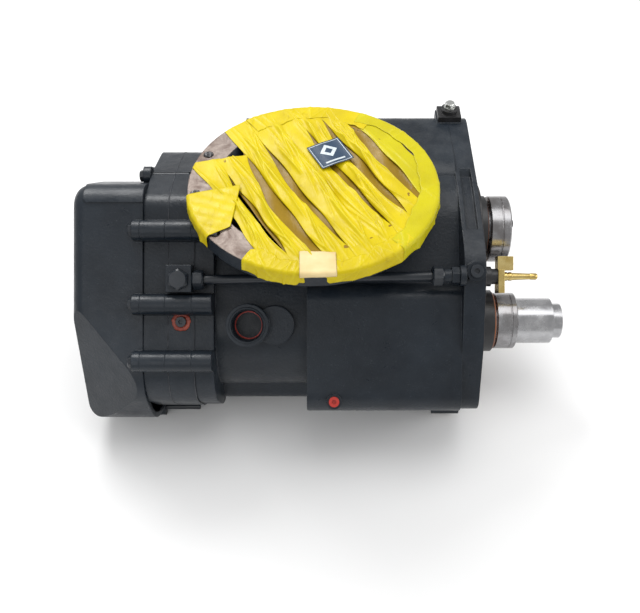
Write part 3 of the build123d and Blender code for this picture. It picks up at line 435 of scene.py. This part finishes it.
def turned_steel(name, light, dark, marks=(2600, 40, 40), rough=(0.16, 0.34), edge=0.0006):
    """Ground or turned steel: fine lines round the axis, faint stains and softened edges."""
    f = Finish(name, metallic=1.0, roughness=0.25)
    lines = f.noise(1.0, 2, 0.5, stretch=marks)
    stain = f.noise(38, 5, 0.65)
    colour = f.mixed(f.spread(stain, 0.36, 0.7), dark, light)
    height = f.maths("ADD", f.maths("MULTIPLY", lines, 0.6), f.maths("MULTIPLY", stain, 0.2))
    return f.join(Base_Color=colour, Roughness=f.spread(stain, 0.3, 0.7, *rough),
                  Normal=f.raised(height, 0.00006, 0.5, f.rounded(edge)))


def plain_finish(name, low, high, rough=(0.35, 0.55), scale=180, bump=0.0002, metallic=0.0, edge=0.0008,
                 specular=0.5):
    """A finish with a tone that drifts, a grain and softened edges."""
    f = Finish(name, metallic=metallic, roughness=rough[0], specular=specular)
    grain, broad = f.noise(scale, 4, 0.6), f.noise(scale / 12, 3, 0.6)
    return f.join(Base_Color=f.mixed(f.spread(broad, 0.35, 0.68), low, high),
                  Roughness=f.spread(grain, 0.3, 0.72, *rough),
                  Normal=f.raised(grain, bump, 0.5, f.rounded(edge)))


def tape_finish(name, bright, shade, hollow_shade):
    """Thin vinyl tape: bright film with a painted highlight that makes the fold crests paler, painted shade in
    the wrinkle hollows, and fine wrinkles.
    """
    f = Finish(name, roughness=0.36, specular=0.2)
    fold_crest_light = f.add("ShaderNodeAttribute", attribute_name="fold_crest_light").outputs["Fac"]
    fine = f.noise(1.0, 3, 0.6, stretch=(95, 40, 60), distortion=1.2)
    wide = f.noise(16, 4, 0.6)
    colour = f.mixed(f.spread(wide, 0.35, 0.7), bright, shade)
    # painted shade: darker tone where the fine wrinkle noise is high
    colour = f.mixed(f.spread(fine, 0.60, 0.80, 0.0, 0.45), colour, hollow_shade)
    # painted highlight: fold crests mixed towards a paler yellow by their height share
    colour = f.mixed(f.spread(fold_crest_light, 0.3, 0.95, 0.0, 0.35), colour, (0.66, 0.57, 0.02))
    rough = f.spread(f.noise(70, 3), 0.3, 0.7, 0.28, 0.46)
    return f.join(Base_Color=colour, Roughness=rough, Normal=f.raised(fine, 0.0011, 0.55))


def label_finish(name):
    """Plain printed label: dark ground, a pale border line, a pale lozenge and one bar, worked out
    from the label's own UV map."""
    f = Finish(name, roughness=0.34, specular=0.5)
    uv = f.add("ShaderNodeSeparateXYZ", {0: f.add("ShaderNodeTexCoord").outputs["UV"]})
    u, v = f.maths("SUBTRACT", uv.outputs[0], 0.5), f.maths("SUBTRACT", uv.outputs[1], 0.5)
    au, av = f.maths("ABSOLUTE", u), f.maths("ABSOLUTE", v)
    high = f.maths("ABSOLUTE", f.maths("SUBTRACT", v, 0.10))
    lozenge = f.maths("LESS_THAN", f.maths("ADD", au, high), 0.27)
    core = f.maths("LESS_THAN", f.maths("ADD", au, high), 0.13)
    edge = f.maths("MAXIMUM", au, av)
    line = f.maths("MULTIPLY", f.maths("GREATER_THAN", edge, 0.445), f.maths("LESS_THAN", edge, 0.462))
    bar = f.maths("LESS_THAN", f.maths("ABSOLUTE", f.maths("ADD", v, 0.335)), 0.028)
    bar = f.maths("MULTIPLY", bar, f.maths("LESS_THAN", au, 0.30))
    pale = f.maths("MAXIMUM", f.maths("SUBTRACT", lozenge, core, clamp=True), f.maths("MAXIMUM", line, bar))
    wear = f.spread(f.noise(260, 3), 0.35, 0.7, 0.75, 1.0)
    colour = f.mixed(f.maths("MULTIPLY", pale, wear), (0.010, 0.035, 0.075), (0.62, 0.68, 0.70))
    return f.join(Base_Color=colour, Normal=f.raised(f.noise(140, 3), 0.0002, 0.4))


def bead_finish(name, low, high):
    """Dried joint sealant: uneven tone and a lumpy skin."""
    f = Finish(name, roughness=0.5)
    lump = f.noise(330, 4, 0.6)
    return f.join(Base_Color=f.mixed(f.spread(f.noise(60, 3), 0.35, 0.7), low, high),
                  Normal=f.raised(lump, 0.0006, 0.6))


FINISHES = {}


def finish(name):
    return FINISHES[name]


# ---- settings ------------------------------------------------------------------------------
class AirEndSizes(bpy.types.PropertyGroup):
    """Sizes that a user may change."""

    fold_height: FloatProperty(name="Fold height", description="Height of the tape's pinched folds",
                               default=0.0055, min=0.0, unit="LENGTH")
    tape_sag: FloatProperty(name="Tape sag", description="How far the strips sink over the inlet bore",
                            default=0.006, min=0.0, unit="LENGTH")
    label_size: FloatProperty(name="Label size", description="Side of the square label",
                              default=0.063, min=0.01, unit="LENGTH")
    bead_radius: FloatProperty(name="Joint bead", description="Radius of the sealant bead at the joints",
                               default=0.0013, min=0.0002, unit="LENGTH")
    thread_steps: IntProperty(name="Thread steps", description="Faces round one turn of a thread",
                              default=40, min=12, max=96)


class AirEndColours(bpy.types.PropertyGroup):
    """Colours that a user may change."""

    paint_dark: FloatVectorProperty(name="Paint, dark", description="Darkest tone of the casing's paint",
                                    subtype="COLOR", size=3, default=(0.0062, 0.0098, 0.0150), min=0, max=1)
    paint_light: FloatVectorProperty(name="Paint, light", description="Lightest tone of the casing's paint",
                                     subtype="COLOR", size=3, default=(0.0135, 0.0195, 0.0275), min=0, max=1)
    tape_bright: FloatVectorProperty(name="Tape", description="Colour of the top strips",
                                     subtype="COLOR", size=3, default=(0.60, 0.475, 0.004), min=0, max=1)
    # this tone is also the painted shade in the rim tape's wrinkle hollows
    tape_shade: FloatVectorProperty(name="Tape, thick", description="Tone where the tape lies double",
                                    subtype="COLOR", size=3, default=(0.50, 0.385, 0.003), min=0, max=1)
    # darker ochre: the sunken layer's tone, partly painted shade between the strips, and the painted shade in
    # the top tape's wrinkle hollows
    tape_ochre_shade: FloatVectorProperty(name="Tape, hollows", description="Tone of the sunken lower layer",
                                    subtype="COLOR", size=3, default=(0.27, 0.165, 0.010), min=0, max=1)


def sizes():
    return bpy.context.scene.air_end_sizes


def colours():
    return bpy.context.scene.air_end_colours


# ---- operators -----------------------------------------------------------------------------
class AIREND_OT_stage(bpy.types.Operator):
    """Camera, soft studio lights and a plain pale floor."""

    bl_idname = "air_end.stage"
    bl_label = "Stage"

    def execute(self, context):
        scene = context.scene
        camera = bpy.data.objects.new("Camera", bpy.data.cameras.new("Camera"))
        camera.location = (-0.2822, -0.9659, 1.1718)
        camera.rotation_euler = (radians(40.5), 0.0, 0.0)
        camera.data.lens, camera.data.sensor_width = 45.0, 36.0
        camera.data.clip_start, camera.data.clip_end = 0.05, 60.0
        scene.collection.objects.link(camera)
        scene.camera = camera
        side = np.linspace(-7.0, 7.0, 15)
        x, y = np.meshgrid(side, side, indexing="ij")
        points, faces = quads_of(np.stack([x, y, np.full_like(x, CAD_LOW[2] - 0.0005)], axis=-1))
        mesh = bpy.data.meshes.new("floor")
        mesh.from_pydata(points.tolist(), [], faces.tolist())
        floor = bpy.data.objects.new("floor", mesh)
        f = Finish("studio_floor", roughness=0.85, specular=0.1)
        mesh.materials.append(f.join(Base_Color=f.mixed(f.noise(3.0, 2), (0.86, 0.86, 0.86),
                                                        (0.89, 0.89, 0.89))))
        scene.collection.objects.link(floor)
        for name, power, size, spot, aim in (
                ("key", 34, 1.0, (-1.0, 1.3, 1.9), (-0.3, 0.05, 0.0)),
                ("top", 26, 1.8, (0.1, 0.2, 2.7), (-0.3, 0.05, 0.0)),
                ("fill", 10, 1.6, (-1.4, -1.9, 1.5), (-0.3, 0.0, 0.0)),
                ("side", 12, 0.9, (1.7, -0.4, 1.2), (-0.1, 0.0, 0.0))):
            lamp = bpy.data.objects.new(name, bpy.data.lights.new(name, "AREA"))
            lamp.data.energy, lamp.data.size = power, size
            lamp.location = spot
            way = Vector(aim) - Vector(spot)
            lamp.rotation_euler = way.to_track_quat("-Z", "Y").to_euler()
            scene.collection.objects.link(lamp)
        world = bpy.data.worlds.new("studio")
        world.use_nodes = True
        world.node_tree.nodes["Background"].inputs["Color"].default_value = (1.0, 1.0, 1.0, 1.0)
        world.node_tree.nodes["Background"].inputs["Strength"].default_value = 0.62
        scene.world = world
        scene.view_settings.view_transform = "Standard"
        return {"FINISHED"}


class AIREND_OT_finishes(bpy.types.Operator):
    """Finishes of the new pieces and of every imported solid."""

    bl_idname = "air_end.finishes"
    bl_label = "Finishes"

    def execute(self, context):
        c = colours()
        dark, light = tuple(c.paint_dark), tuple(c.paint_light)
        FINISHES.update({
            "housing": casting_paint("housing_paint", dark, light, machined=True),
            "casing_paint": casting_paint("casting_paint", dark, light),
            "fastener_paint": plain_finish("fastener_paint", dark, (0.013, 0.017, 0.023), (0.28, 0.45),
                                           420, 0.0002),
            "black_steel": plain_finish("black_steel", (0.008, 0.008, 0.009), (0.022, 0.022, 0.024),
                                        (0.30, 0.48), 300, 0.0002, edge=0.0012),
            "rotor_steel": turned_steel("rotor_steel", (0.50, 0.50, 0.51), (0.36, 0.36, 0.37),
                                        (300, 300, 300)),
            "ground_steel": turned_steel("ground_steel", (0.36, 0.36, 0.37), (0.22, 0.21, 0.21)),
            "zinc": plain_finish("zinc_plate", (0.36, 0.37, 0.36), (0.55, 0.56, 0.54), (0.28, 0.42), 500,
                                 0.0001, metallic=1.0, edge=0.0005),
            "brass": plain_finish("machined_brass", (0.52, 0.38, 0.13), (0.66, 0.52, 0.22), (0.22, 0.36),
                                  600,
                                  0.00008, metallic=1.0, edge=0.0008),
            "lip_seal": plain_finish("seal_rubber", (0.16, 0.050, 0.018), (0.26, 0.085, 0.030),
                                     (0.45, 0.6), 260),
            "carbon": plain_finish("carbon_graphite", (0.012, 0.012, 0.013), (0.03, 0.03, 0.031),
                                   (0.4, 0.55)),
            "red_plastic": plain_finish("red_plastic", (0.36, 0.018, 0.012), (0.52, 0.035, 0.020),
                                        (0.28, 0.4)),
            "tape": tape_finish("masking_tape", tuple(c.tape_bright), tuple(c.tape_shade),
                                tuple(c.tape_ochre_shade)),
            # darker copy of the tape finish for the sunken layer: partly the film over the dark bore, partly
            # painted shade in the valleys between strips
            "tape_under": tape_finish("masking_tape_under", tuple(c.tape_ochre_shade), (0.21, 0.125, 0.009),
                                      (0.15, 0.085, 0.007)),
            # the rim tape's third colour is the painted shade in its wrinkle hollows
            "tape_rim": tape_finish("masking_tape_rim", (0.52, 0.46, 0.006), (0.44, 0.38, 0.005),
                                    tuple(c.tape_shade)),
            "label": label_finish("label_print"),
            "paper": plain_finish("kraft_paper", (0.62, 0.46, 0.20), (0.75, 0.60, 0.32), (0.6, 0.75), 240,
                                  0.0004),
            "bead": bead_finish("joint_sealant", (0.010, 0.012, 0.016), (0.045, 0.05, 0.06)),
            "red_bead": bead_finish("thread_sealant", (0.20, 0.030, 0.018), (0.30, 0.060, 0.035)),
        })
        slots = {s["node"]: s["material_slot"] for s in frame["record"]["subparts"]}
        own = {"rotor_housing": "housing", "casing_bolts": "fastener_paint",
               "cover_bolts": "fastener_paint",
               "oil_pipe": "fastener_paint", "oil_pipe_nuts": "fastener_paint", "banjo_bolt": "fastener_paint",
               "flange_plug": "fastener_paint", "sealed_plug": "fastener_paint",
               "jacket_plug": "red_plastic", "port_seal": "red_plastic"}
        for node, obj in NODES.items():
            obj.data.materials.clear()
            obj.data.materials.append(finish(own.get(node, slots[node])))
        return {"FINISHED"}


class AIREND_OT_tape(bpy.types.Operator):
    """Masking tape over the inlet: a sunken lower layer whose darker ochre is partly painted shade, gathered
    strips and rim pieces.
    """

    bl_idname = "air_end.tape"
    bl_label = "Masking tape"

    def execute(self, context):
        s = sizes()
        steps = (150, 90)
        k, m = np.meshgrid(np.linspace(0, 1, steps[0]), np.linspace(0, 1, steps[1]), indexing="ij")
        q = -0.120 + 0.295 * m
        reach = np.sqrt(0.205 ** 2 - q ** 2)
        cut = -0.128 - 0.05 * np.clip((q + 0.070) / 0.012, 0, 1)
        begin = np.where(q < -0.064, np.maximum(cut, -reach), -reach)
        run = begin + (reach - begin) * k
        x, y = ALONG[0] * run + ACROSS[0] * q, ALONG[1] * run + ACROSS[1] * q
        wave = 0.0016 * np.sin(q / 0.007 + 3 * np.sin(run / 0.05)) * (np.hypot(x, y) < BORE_R)
        # the sunken layer's darker ochre is partly painted shade where it shows between the strips
        under = tape_sheet("tape_under", fold_over(x, y, 0.0003, 0.016, wave), np.zeros_like(wave),
                           finish("tape_under"))
        strips = (
            ("tape_left_outer", 3, (-0.166, -0.112), (-0.158, -0.127), 0.0009, (-0.150, -0.136), 0.0),
            ("tape_left", 5, (-0.126, -0.064), (-0.114, -0.090), 0.0013, (-0.137, -0.124), 0.0),
            ("tape_main_1", 8, (-0.077, -0.015), (-0.064, -0.034), 0.0011, None, 0.0),
            ("tape_main_2", 13, (-0.033, 0.028), (-0.022, 0.024), 0.0014, None, 0.002),
            ("tape_main_3", 21, (0.010, 0.070), (0.020, 0.051), 0.0012, None, 0.002),
            ("tape_main_4", 34, (0.050, 0.108), (0.062, 0.086), 0.0015, None, 0.003),
            ("tape_main_5", 55, (0.088, 0.144), (0.101, 0.123), 0.0013, None, 0.006),
        )
        for name, seed, ends, middle, lift, start, bow in strips:
            grid, fold_crest_light = laid_strip(seed, ends, middle, lift, s.tape_sag, s.fold_height, start, bow=bow)
            tape_sheet(name, grid, fold_crest_light, finish("tape"))
        grid, fold_crest_light = laid_strip(89, (0.135, 0.192), (0.150, 0.190), 0.0010, 0.001, 0.0016)
        tape_sheet("tape_right", grid, fold_crest_light, finish("tape_rim"))
        for name, seed, angles, inner, lift, look in (
                ("tape_rim_top", 4, (126, 58), 0.176, 0.0021, "tape"),
                ("tape_rim_right", 6, (66, -48), 0.186, 0.0024, "tape_rim"),
                ("tape_rim_front", 9, (-40, -84), 0.188, 0.0019, "tape"),
                ("tape_rim_front_left", 12, (-95, -121), 0.186, 0.0017, "tape")):
            grid, fold_crest_light = rim_strip(seed, angles, inner, lift, 0.0016)
            tape_sheet(name, grid, fold_crest_light, finish(look))
        grid, fold_crest_light = patch_of([(-0.234, -0.040), (-0.124, -0.008), (-0.134, -0.112), (-0.189, -0.146)],
                                0.0025, ripple=0.0007, seed=2)
        tape_sheet("tape_left_patch", grid, fold_crest_light, finish("tape"))
        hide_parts("inlet_tape")
        return {"FINISHED"}


class AIREND_OT_label(bpy.types.Operator):
    """Square label on the tape and a paper patch at the front of the rim."""

    bl_idname = "air_end.label"
    bl_label = "Label and paper"

    def execute(self, context):
        half, turn = sizes().label_size / 2, radians(27)
        u, v = np.meshgrid(np.linspace(-1, 1, 40), np.linspace(-1, 1, 40), indexing="ij")
        x = 0.0300 + half * (u * cos(turn) - v * sin(turn))
        y = 0.0800 + half * (u * sin(turn) + v * cos(turn))
        wave = 0.0005 * np.sin(x * 120 + y * 60)
        grid = fold_over(x, y, 0.0048, sizes().tape_sag, wave)
        label = tape_sheet("inlet_label_film", grid, np.zeros_like(u), finish("label"))
        layer = label.data.uv_layers.new(name="UVMap")
        loop = np.zeros(len(label.data.loops), np.int32)
        label.data.loops.foreach_get("vertex_index", loop)
        plan = np.stack([(u.ravel() + 1) / 2, (v.ravel() + 1) / 2], axis=1)
        layer.data.foreach_set("uv", plan[loop].astype(np.float32).ravel())
        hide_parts("inlet_label")
        grid, fold_crest_light = patch_of([(-0.021, -0.168), (0.037, -0.171), (0.038, -0.2155), (-0.020, -0.2185)],
                                0.0034, ripple=0.0004, seed=5)
        tape_sheet("paper_patch", grid, fold_crest_light, finish("paper"))
        return {"FINISHED"}


class AIREND_OT_fasteners(bpy.types.Operator):
    """Chamfered heads and nuts in place of the plain ones."""

    bl_idname = "air_end.fasteners"
    bl_label = "Fasteners"

    def execute(self, context):
        painted = finish("fastener_paint")
        back = np.array((-1.0, 0, 0))
        front_spots = [front(t, BOLT_N) for t in FRONT_BOLT_T]
        back_spots = [front(t, n) for t, n in ((0.308, -0.062), (0.252, -0.132), (0.150, -0.190),
                                               (0.066, -0.172))]
        parts = [hex_head((COVER_X - LOBE, *spot), back, 0.019, 0.008, 0.006,
                          0.120) for spot in front_spots]
        parts += [hex_head((COVER_X, *spot), back, 0.019, 0.008, 0.006, 0.106) for spot in back_spots]
        piece = make_piece("casing_bolt_set", parts, painted, "casing")
        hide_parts("casing_bolts")
        low, mid, high = front(-0.060, 0), front(0, -0.012), front(0.174, -0.011)

        def spot_at(centre, r, angle):
            return centre + (r + LOBE) * np.array((cos(radians(angle)), sin(radians(angle))))

        spots = [spot_at(high, 0.088, 40), spot_at(high, 0.088, 350), front(0.265, 0.058),
                 spot_at(low, 0.122, 255), spot_at(low, 0.122, 290), spot_at(mid, 0.122, 320)]
        parts = [hex_head((COVER_X - LOBE, *spot), back, 0.019, 0.008, 0.006, 0.082) for spot in spots]
        piece = make_piece("cover_bolt_set", parts, painted, "casing")
        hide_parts("cover_bolts")
        nut = [(0.0, 0.0085), (0.0, 0.0132), (0.0026, 0.0173), (0.0172, 0.0173), (0.020, 0.0135),
               (0.020, 0.0085)]
        parts = [turned(nut, (x, *front(t, n)), (1, 0, 0), 72, hexagon=0.030)
                 for x, t, n in ((-0.500, 0.072, 0.153), (-0.092, 0.079, 0.158))]
        piece = make_piece("pipe_nut_pair", parts, painted, "casing")
        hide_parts("oil_pipe_nuts")
        top = 0.166
        parts = [hex_head((BANJO_X, *front(0.072, top)), LEAN, 0.032, 0.011, 0.008, 0.056)]
        piece = make_piece("banjo_bolt_head", parts, painted, "casing")
        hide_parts("banjo_bolt")
        low_clamp, high_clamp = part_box("clamp_bolt")
        centre = ((low_clamp[0] + high_clamp[0]) / 2, (low_clamp[1] + high_clamp[1]) / 2,
                  high_clamp[2] - 0.008)
        piece = make_piece("clamp_screw", [hex_head(centre, (0, 0, 1), 0.017, 0.008, 0.005, 0.044)],
                           finish("zinc"), "casing")
        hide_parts("clamp_bolt")
        return {"FINISHED"}


class AIREND_OT_shaft_ends(bpy.types.Operator):
    """Turned sleeve, collar, lip seals and brass nozzle with their chamfers and grooves."""

    bl_idname = "air_end.shaft_ends"
    bl_label = "Shaft ends"

    def execute(self, context):
        x_axis = np.array((1.0, 0, 0))
        lower, upper = (0.0, *FEMALE), (0.0, *MALE)
        sleeve = [(0.044, 0.0430), (0.044, 0.0510), (0.0455, 0.0525), (0.0695, 0.0525), (0.0702, 0.0518),
                  (0.0718, 0.0518), (0.0725, 0.0525), (0.0805, 0.0525), (0.082, 0.0510), (0.082, 0.0445),
                  (0.0814, 0.0430)]
        piece = make_piece("drive_sleeve_turned", [turned(sleeve, lower, x_axis, 160)],
                           finish("ground_steel"),
                           "female_shaft")
        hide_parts("drive_sleeve")
        collar = [(0.033, 0.0430), (0.033, 0.0605), (0.035, 0.0625), (0.0540, 0.0625), (0.0547, 0.0617),
                  (0.0563, 0.0617), (0.0570, 0.0625), (0.0685, 0.0625), (0.071, 0.0600), (0.071, 0.0430)]
        piece = make_piece("male_collar_turned", [turned(collar, upper, x_axis, 160)],
                           finish("ground_steel"),
                           "male_shaft")
        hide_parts("male_end_collar")
        for name, centre, hub in (("female", lower, 0.038), ("male", upper, 0.027)):
            seal = [(-0.012, 0.0453), (-0.012, 0.0558), (0.0018, 0.0558), (0.0030, 0.0545),
                    (0.0030, 0.0525),
                    (0.0016, 0.0512), (0.0016, 0.0478), (0.0028, 0.0466), (0.0028, 0.0456), (0.0018, 0.0453)]
            foot = np.array(centre) + hub * x_axis
            piece = make_piece(name + "_seal_lip", [turned(seal, foot, x_axis, 128)], finish("lip_seal"),
                               "casing", sharp=60.0)
            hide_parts(name + "_lip_seal")
        jet = (0.0, *front(0.081, 0.068))
        nozzle = [(0.049, 0.0), (0.049, 0.0080), (0.0560, 0.0080), (0.0566, 0.0070), (0.0586, 0.0070),
                  (0.0592, 0.0078), (0.0640, 0.0078), (0.0650, 0.0068), (0.0980, 0.0054), (0.0990, 0.0060),
                  (0.1085, 0.0060), (0.111, 0.0046), (0.111, 0.0025), (0.094, 0.0025), (0.093, 0.0)]
        piece = make_piece("oil_jet_nozzle_turned", [turned(nozzle, jet, x_axis, 72, wrap=False)],
                           finish("brass"), "casing")
        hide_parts("oil_jet_nozzle")
        return {"FINISHED"}


class AIREND_OT_threads(bpy.types.Operator):
    """Thread turns in the front port and in the tapped holes of both flanges."""

    bl_idname = "air_end.threads"
    bl_label = "Threads"

    def execute(self, context):
        steps = sizes().thread_steps
        foot = np.array((PORT_X, *front(-0.006, 0.117)))
        port = [internal_thread(foot, LEAN, 0.027, 0.0023, 13, 0.0012, steps * 2)]
        lip = [(0.0, 0.0268), (0.0, 0.0312), (0.0007, 0.0316), (0.0012, 0.0308), (0.0012, 0.0282),
               (-0.0012, 0.0268)]
        port.append(turned(lip, (PORT_X, *front(-0.006, 0.150)), LEAN, 120))
        make_piece("front_port_thread", port, finish("casing_paint"), "casing", sharp=50.0)
        angles = radians(8.0) + np.arange(12) * pi / 6
        parts = []
        for a in angles:
            spot = INLET + np.array((INLET_CIRCLE_R * cos(a), INLET_CIRCLE_R * sin(a), -0.0235))
            parts.append(internal_thread(spot, (0, 0, 1), 0.00875, 0.0025, 9, 0.0011, steps // 2))
        make_piece("inlet_hole_threads", parts, finish("ground_steel"), "casing",
                   sharp=50.0)
        parts = []
        for a in np.arange(4) * pi / 2:
            spot = (-0.0295, DRIVE_CIRCLE_R * cos(a), DRIVE_CIRCLE_R * sin(a))
            parts.append(internal_thread(spot, (1, 0, 0), 0.006, 0.002, 14, 0.0009, steps // 2))
        make_piece("drive_hole_threads", parts, finish("ground_steel"), "casing",
                   sharp=50.0)
        return {"FINISHED"}


class AIREND_OT_beads(bpy.types.Operator):
    """Sealant beads along the discharge joints, round the sealed plug, and the cast neck's fillet."""

    bl_idname = "air_end.beads"
    bl_label = "Joint beads"

    def execute(self, context):
        outline = [(-0.038, -0.010, 0.122), (0.010, -0.084, 0.090), (0.150, -0.060, 0.140),
                   (0.252, -0.062, 0.078),
                   (0.174, -0.011, 0.120), (0.196, 0.096, 0.035), (-0.070, 0.058, 0.078)]
        circles = [(*front(t, n), r) for t, n, r in outline]
        path = outline_of(circles)
        step = np.roll(path, -1, axis=0) - np.roll(path, 1, axis=0)
        step /= np.linalg.norm(step, axis=1, keepdims=True)
        out = np.stack([step[:, 1], -step[:, 0]], axis=1)
        ring = np.linspace(0, 2 * pi, 9, endpoint=False)
        share = np.arange(len(path)) / len(path) * 2 * pi
        parts = []
        for k, x in enumerate((-0.500, -0.545)):
            radius = sizes().bead_radius * (0.75 + 0.3 * np.sin(37 * share + k) * np.sin(11 * share + 2 * k))
            centre = path - out * 0.0002
            grid = np.empty((len(path), len(ring), 3))
            grid[..., 0] = x + radius[:, None] * 0.9 * np.cos(ring)
            grid[..., 1:] = centre[:, None] + radius[:, None, None] * np.sin(ring)[None, :, None] * out[:,
                                                                                                        None]
            parts.append(quads_of(grid, wrap_u=True, wrap_v=True))
        make_piece("joint_beads", parts, finish("bead"), "casing", sharp=180.0)
        angle = np.linspace(0, 2 * pi, 120, endpoint=False)
        wobble = 1 + 0.14 * np.sin(5 * angle) + 0.09 * np.sin(11 * angle + 1)
        foot = np.array((BANJO_X, *front(0.0, 0.1362)))
        first, second = square_to(LEAN)
        grid = (foot + (0.0122 + 0.0042 * wobble[:, None, None] * np.cos(ring)[None, :, None])
                * (np.cos(angle)[:, None, None] * first + np.sin(angle)[:, None, None] * second)
                + 0.0022 * wobble[:, None, None] * np.sin(ring)[None, :, None] * LEAN)
        make_piece("plug_sealant", [quads_of(grid, wrap_u=True, wrap_v=True)], finish("red_bead"), "casing",
                   sharp=180.0)
        bend = np.linspace(0, pi / 2, 9)
        r0, z0, fillet = 0.1865, -0.028, 0.012
        curve = [(z0 + 0.0004, r0 - 0.004)] + [(z0 - fillet + fillet * sin(b),
                                                r0 + fillet * (1 - cos(b)) - 0.0105)
                                               for b in bend] + [(z0 + 0.0004, r0 + 0.002)]
        make_piece("neck_fillet", [turned(curve, INLET, (0, 0, 1), 160)], finish("casing_paint"), "casing",
                   sharp=60.0)
        return {"FINISHED"}


class AIREND_PT_panel(bpy.types.Panel):
    """Lists the pieces and settings in the sidebar."""

    bl_label = "Screw compressor air end"
    bl_space_type = "VIEW_3D"
    bl_region_type = "UI"
    bl_category = "Air end"

    def draw(self, context):
        for step in STEPS:
            self.layout.operator(step.bl_idname)
        for group in (context.scene.air_end_sizes, context.scene.air_end_colours):
            for key in group.__annotations__:
                self.layout.prop(group, key)


STEPS = (AIREND_OT_stage, AIREND_OT_finishes, AIREND_OT_tape, AIREND_OT_label, AIREND_OT_fasteners,
         AIREND_OT_shaft_ends, AIREND_OT_threads, AIREND_OT_beads)
CLASSES = (AirEndSizes, AirEndColours, *STEPS, AIREND_PT_panel)


def register():
    for item in CLASSES:
        bpy.utils.register_class(item)
    bpy.types.Scene.air_end_sizes = PointerProperty(type=AirEndSizes)
    bpy.types.Scene.air_end_colours = PointerProperty(type=AirEndColours)


def unregister():
    del bpy.types.Scene.air_end_colours
    del bpy.types.Scene.air_end_sizes
    for item in reversed(CLASSES):
        bpy.utils.unregister_class(item)


def main():
    register()
    for step in STEPS:
        group, name = step.bl_idname.split(".")
        getattr(getattr(bpy.ops, group), name)()


if __name__ == "__main__":
    main()
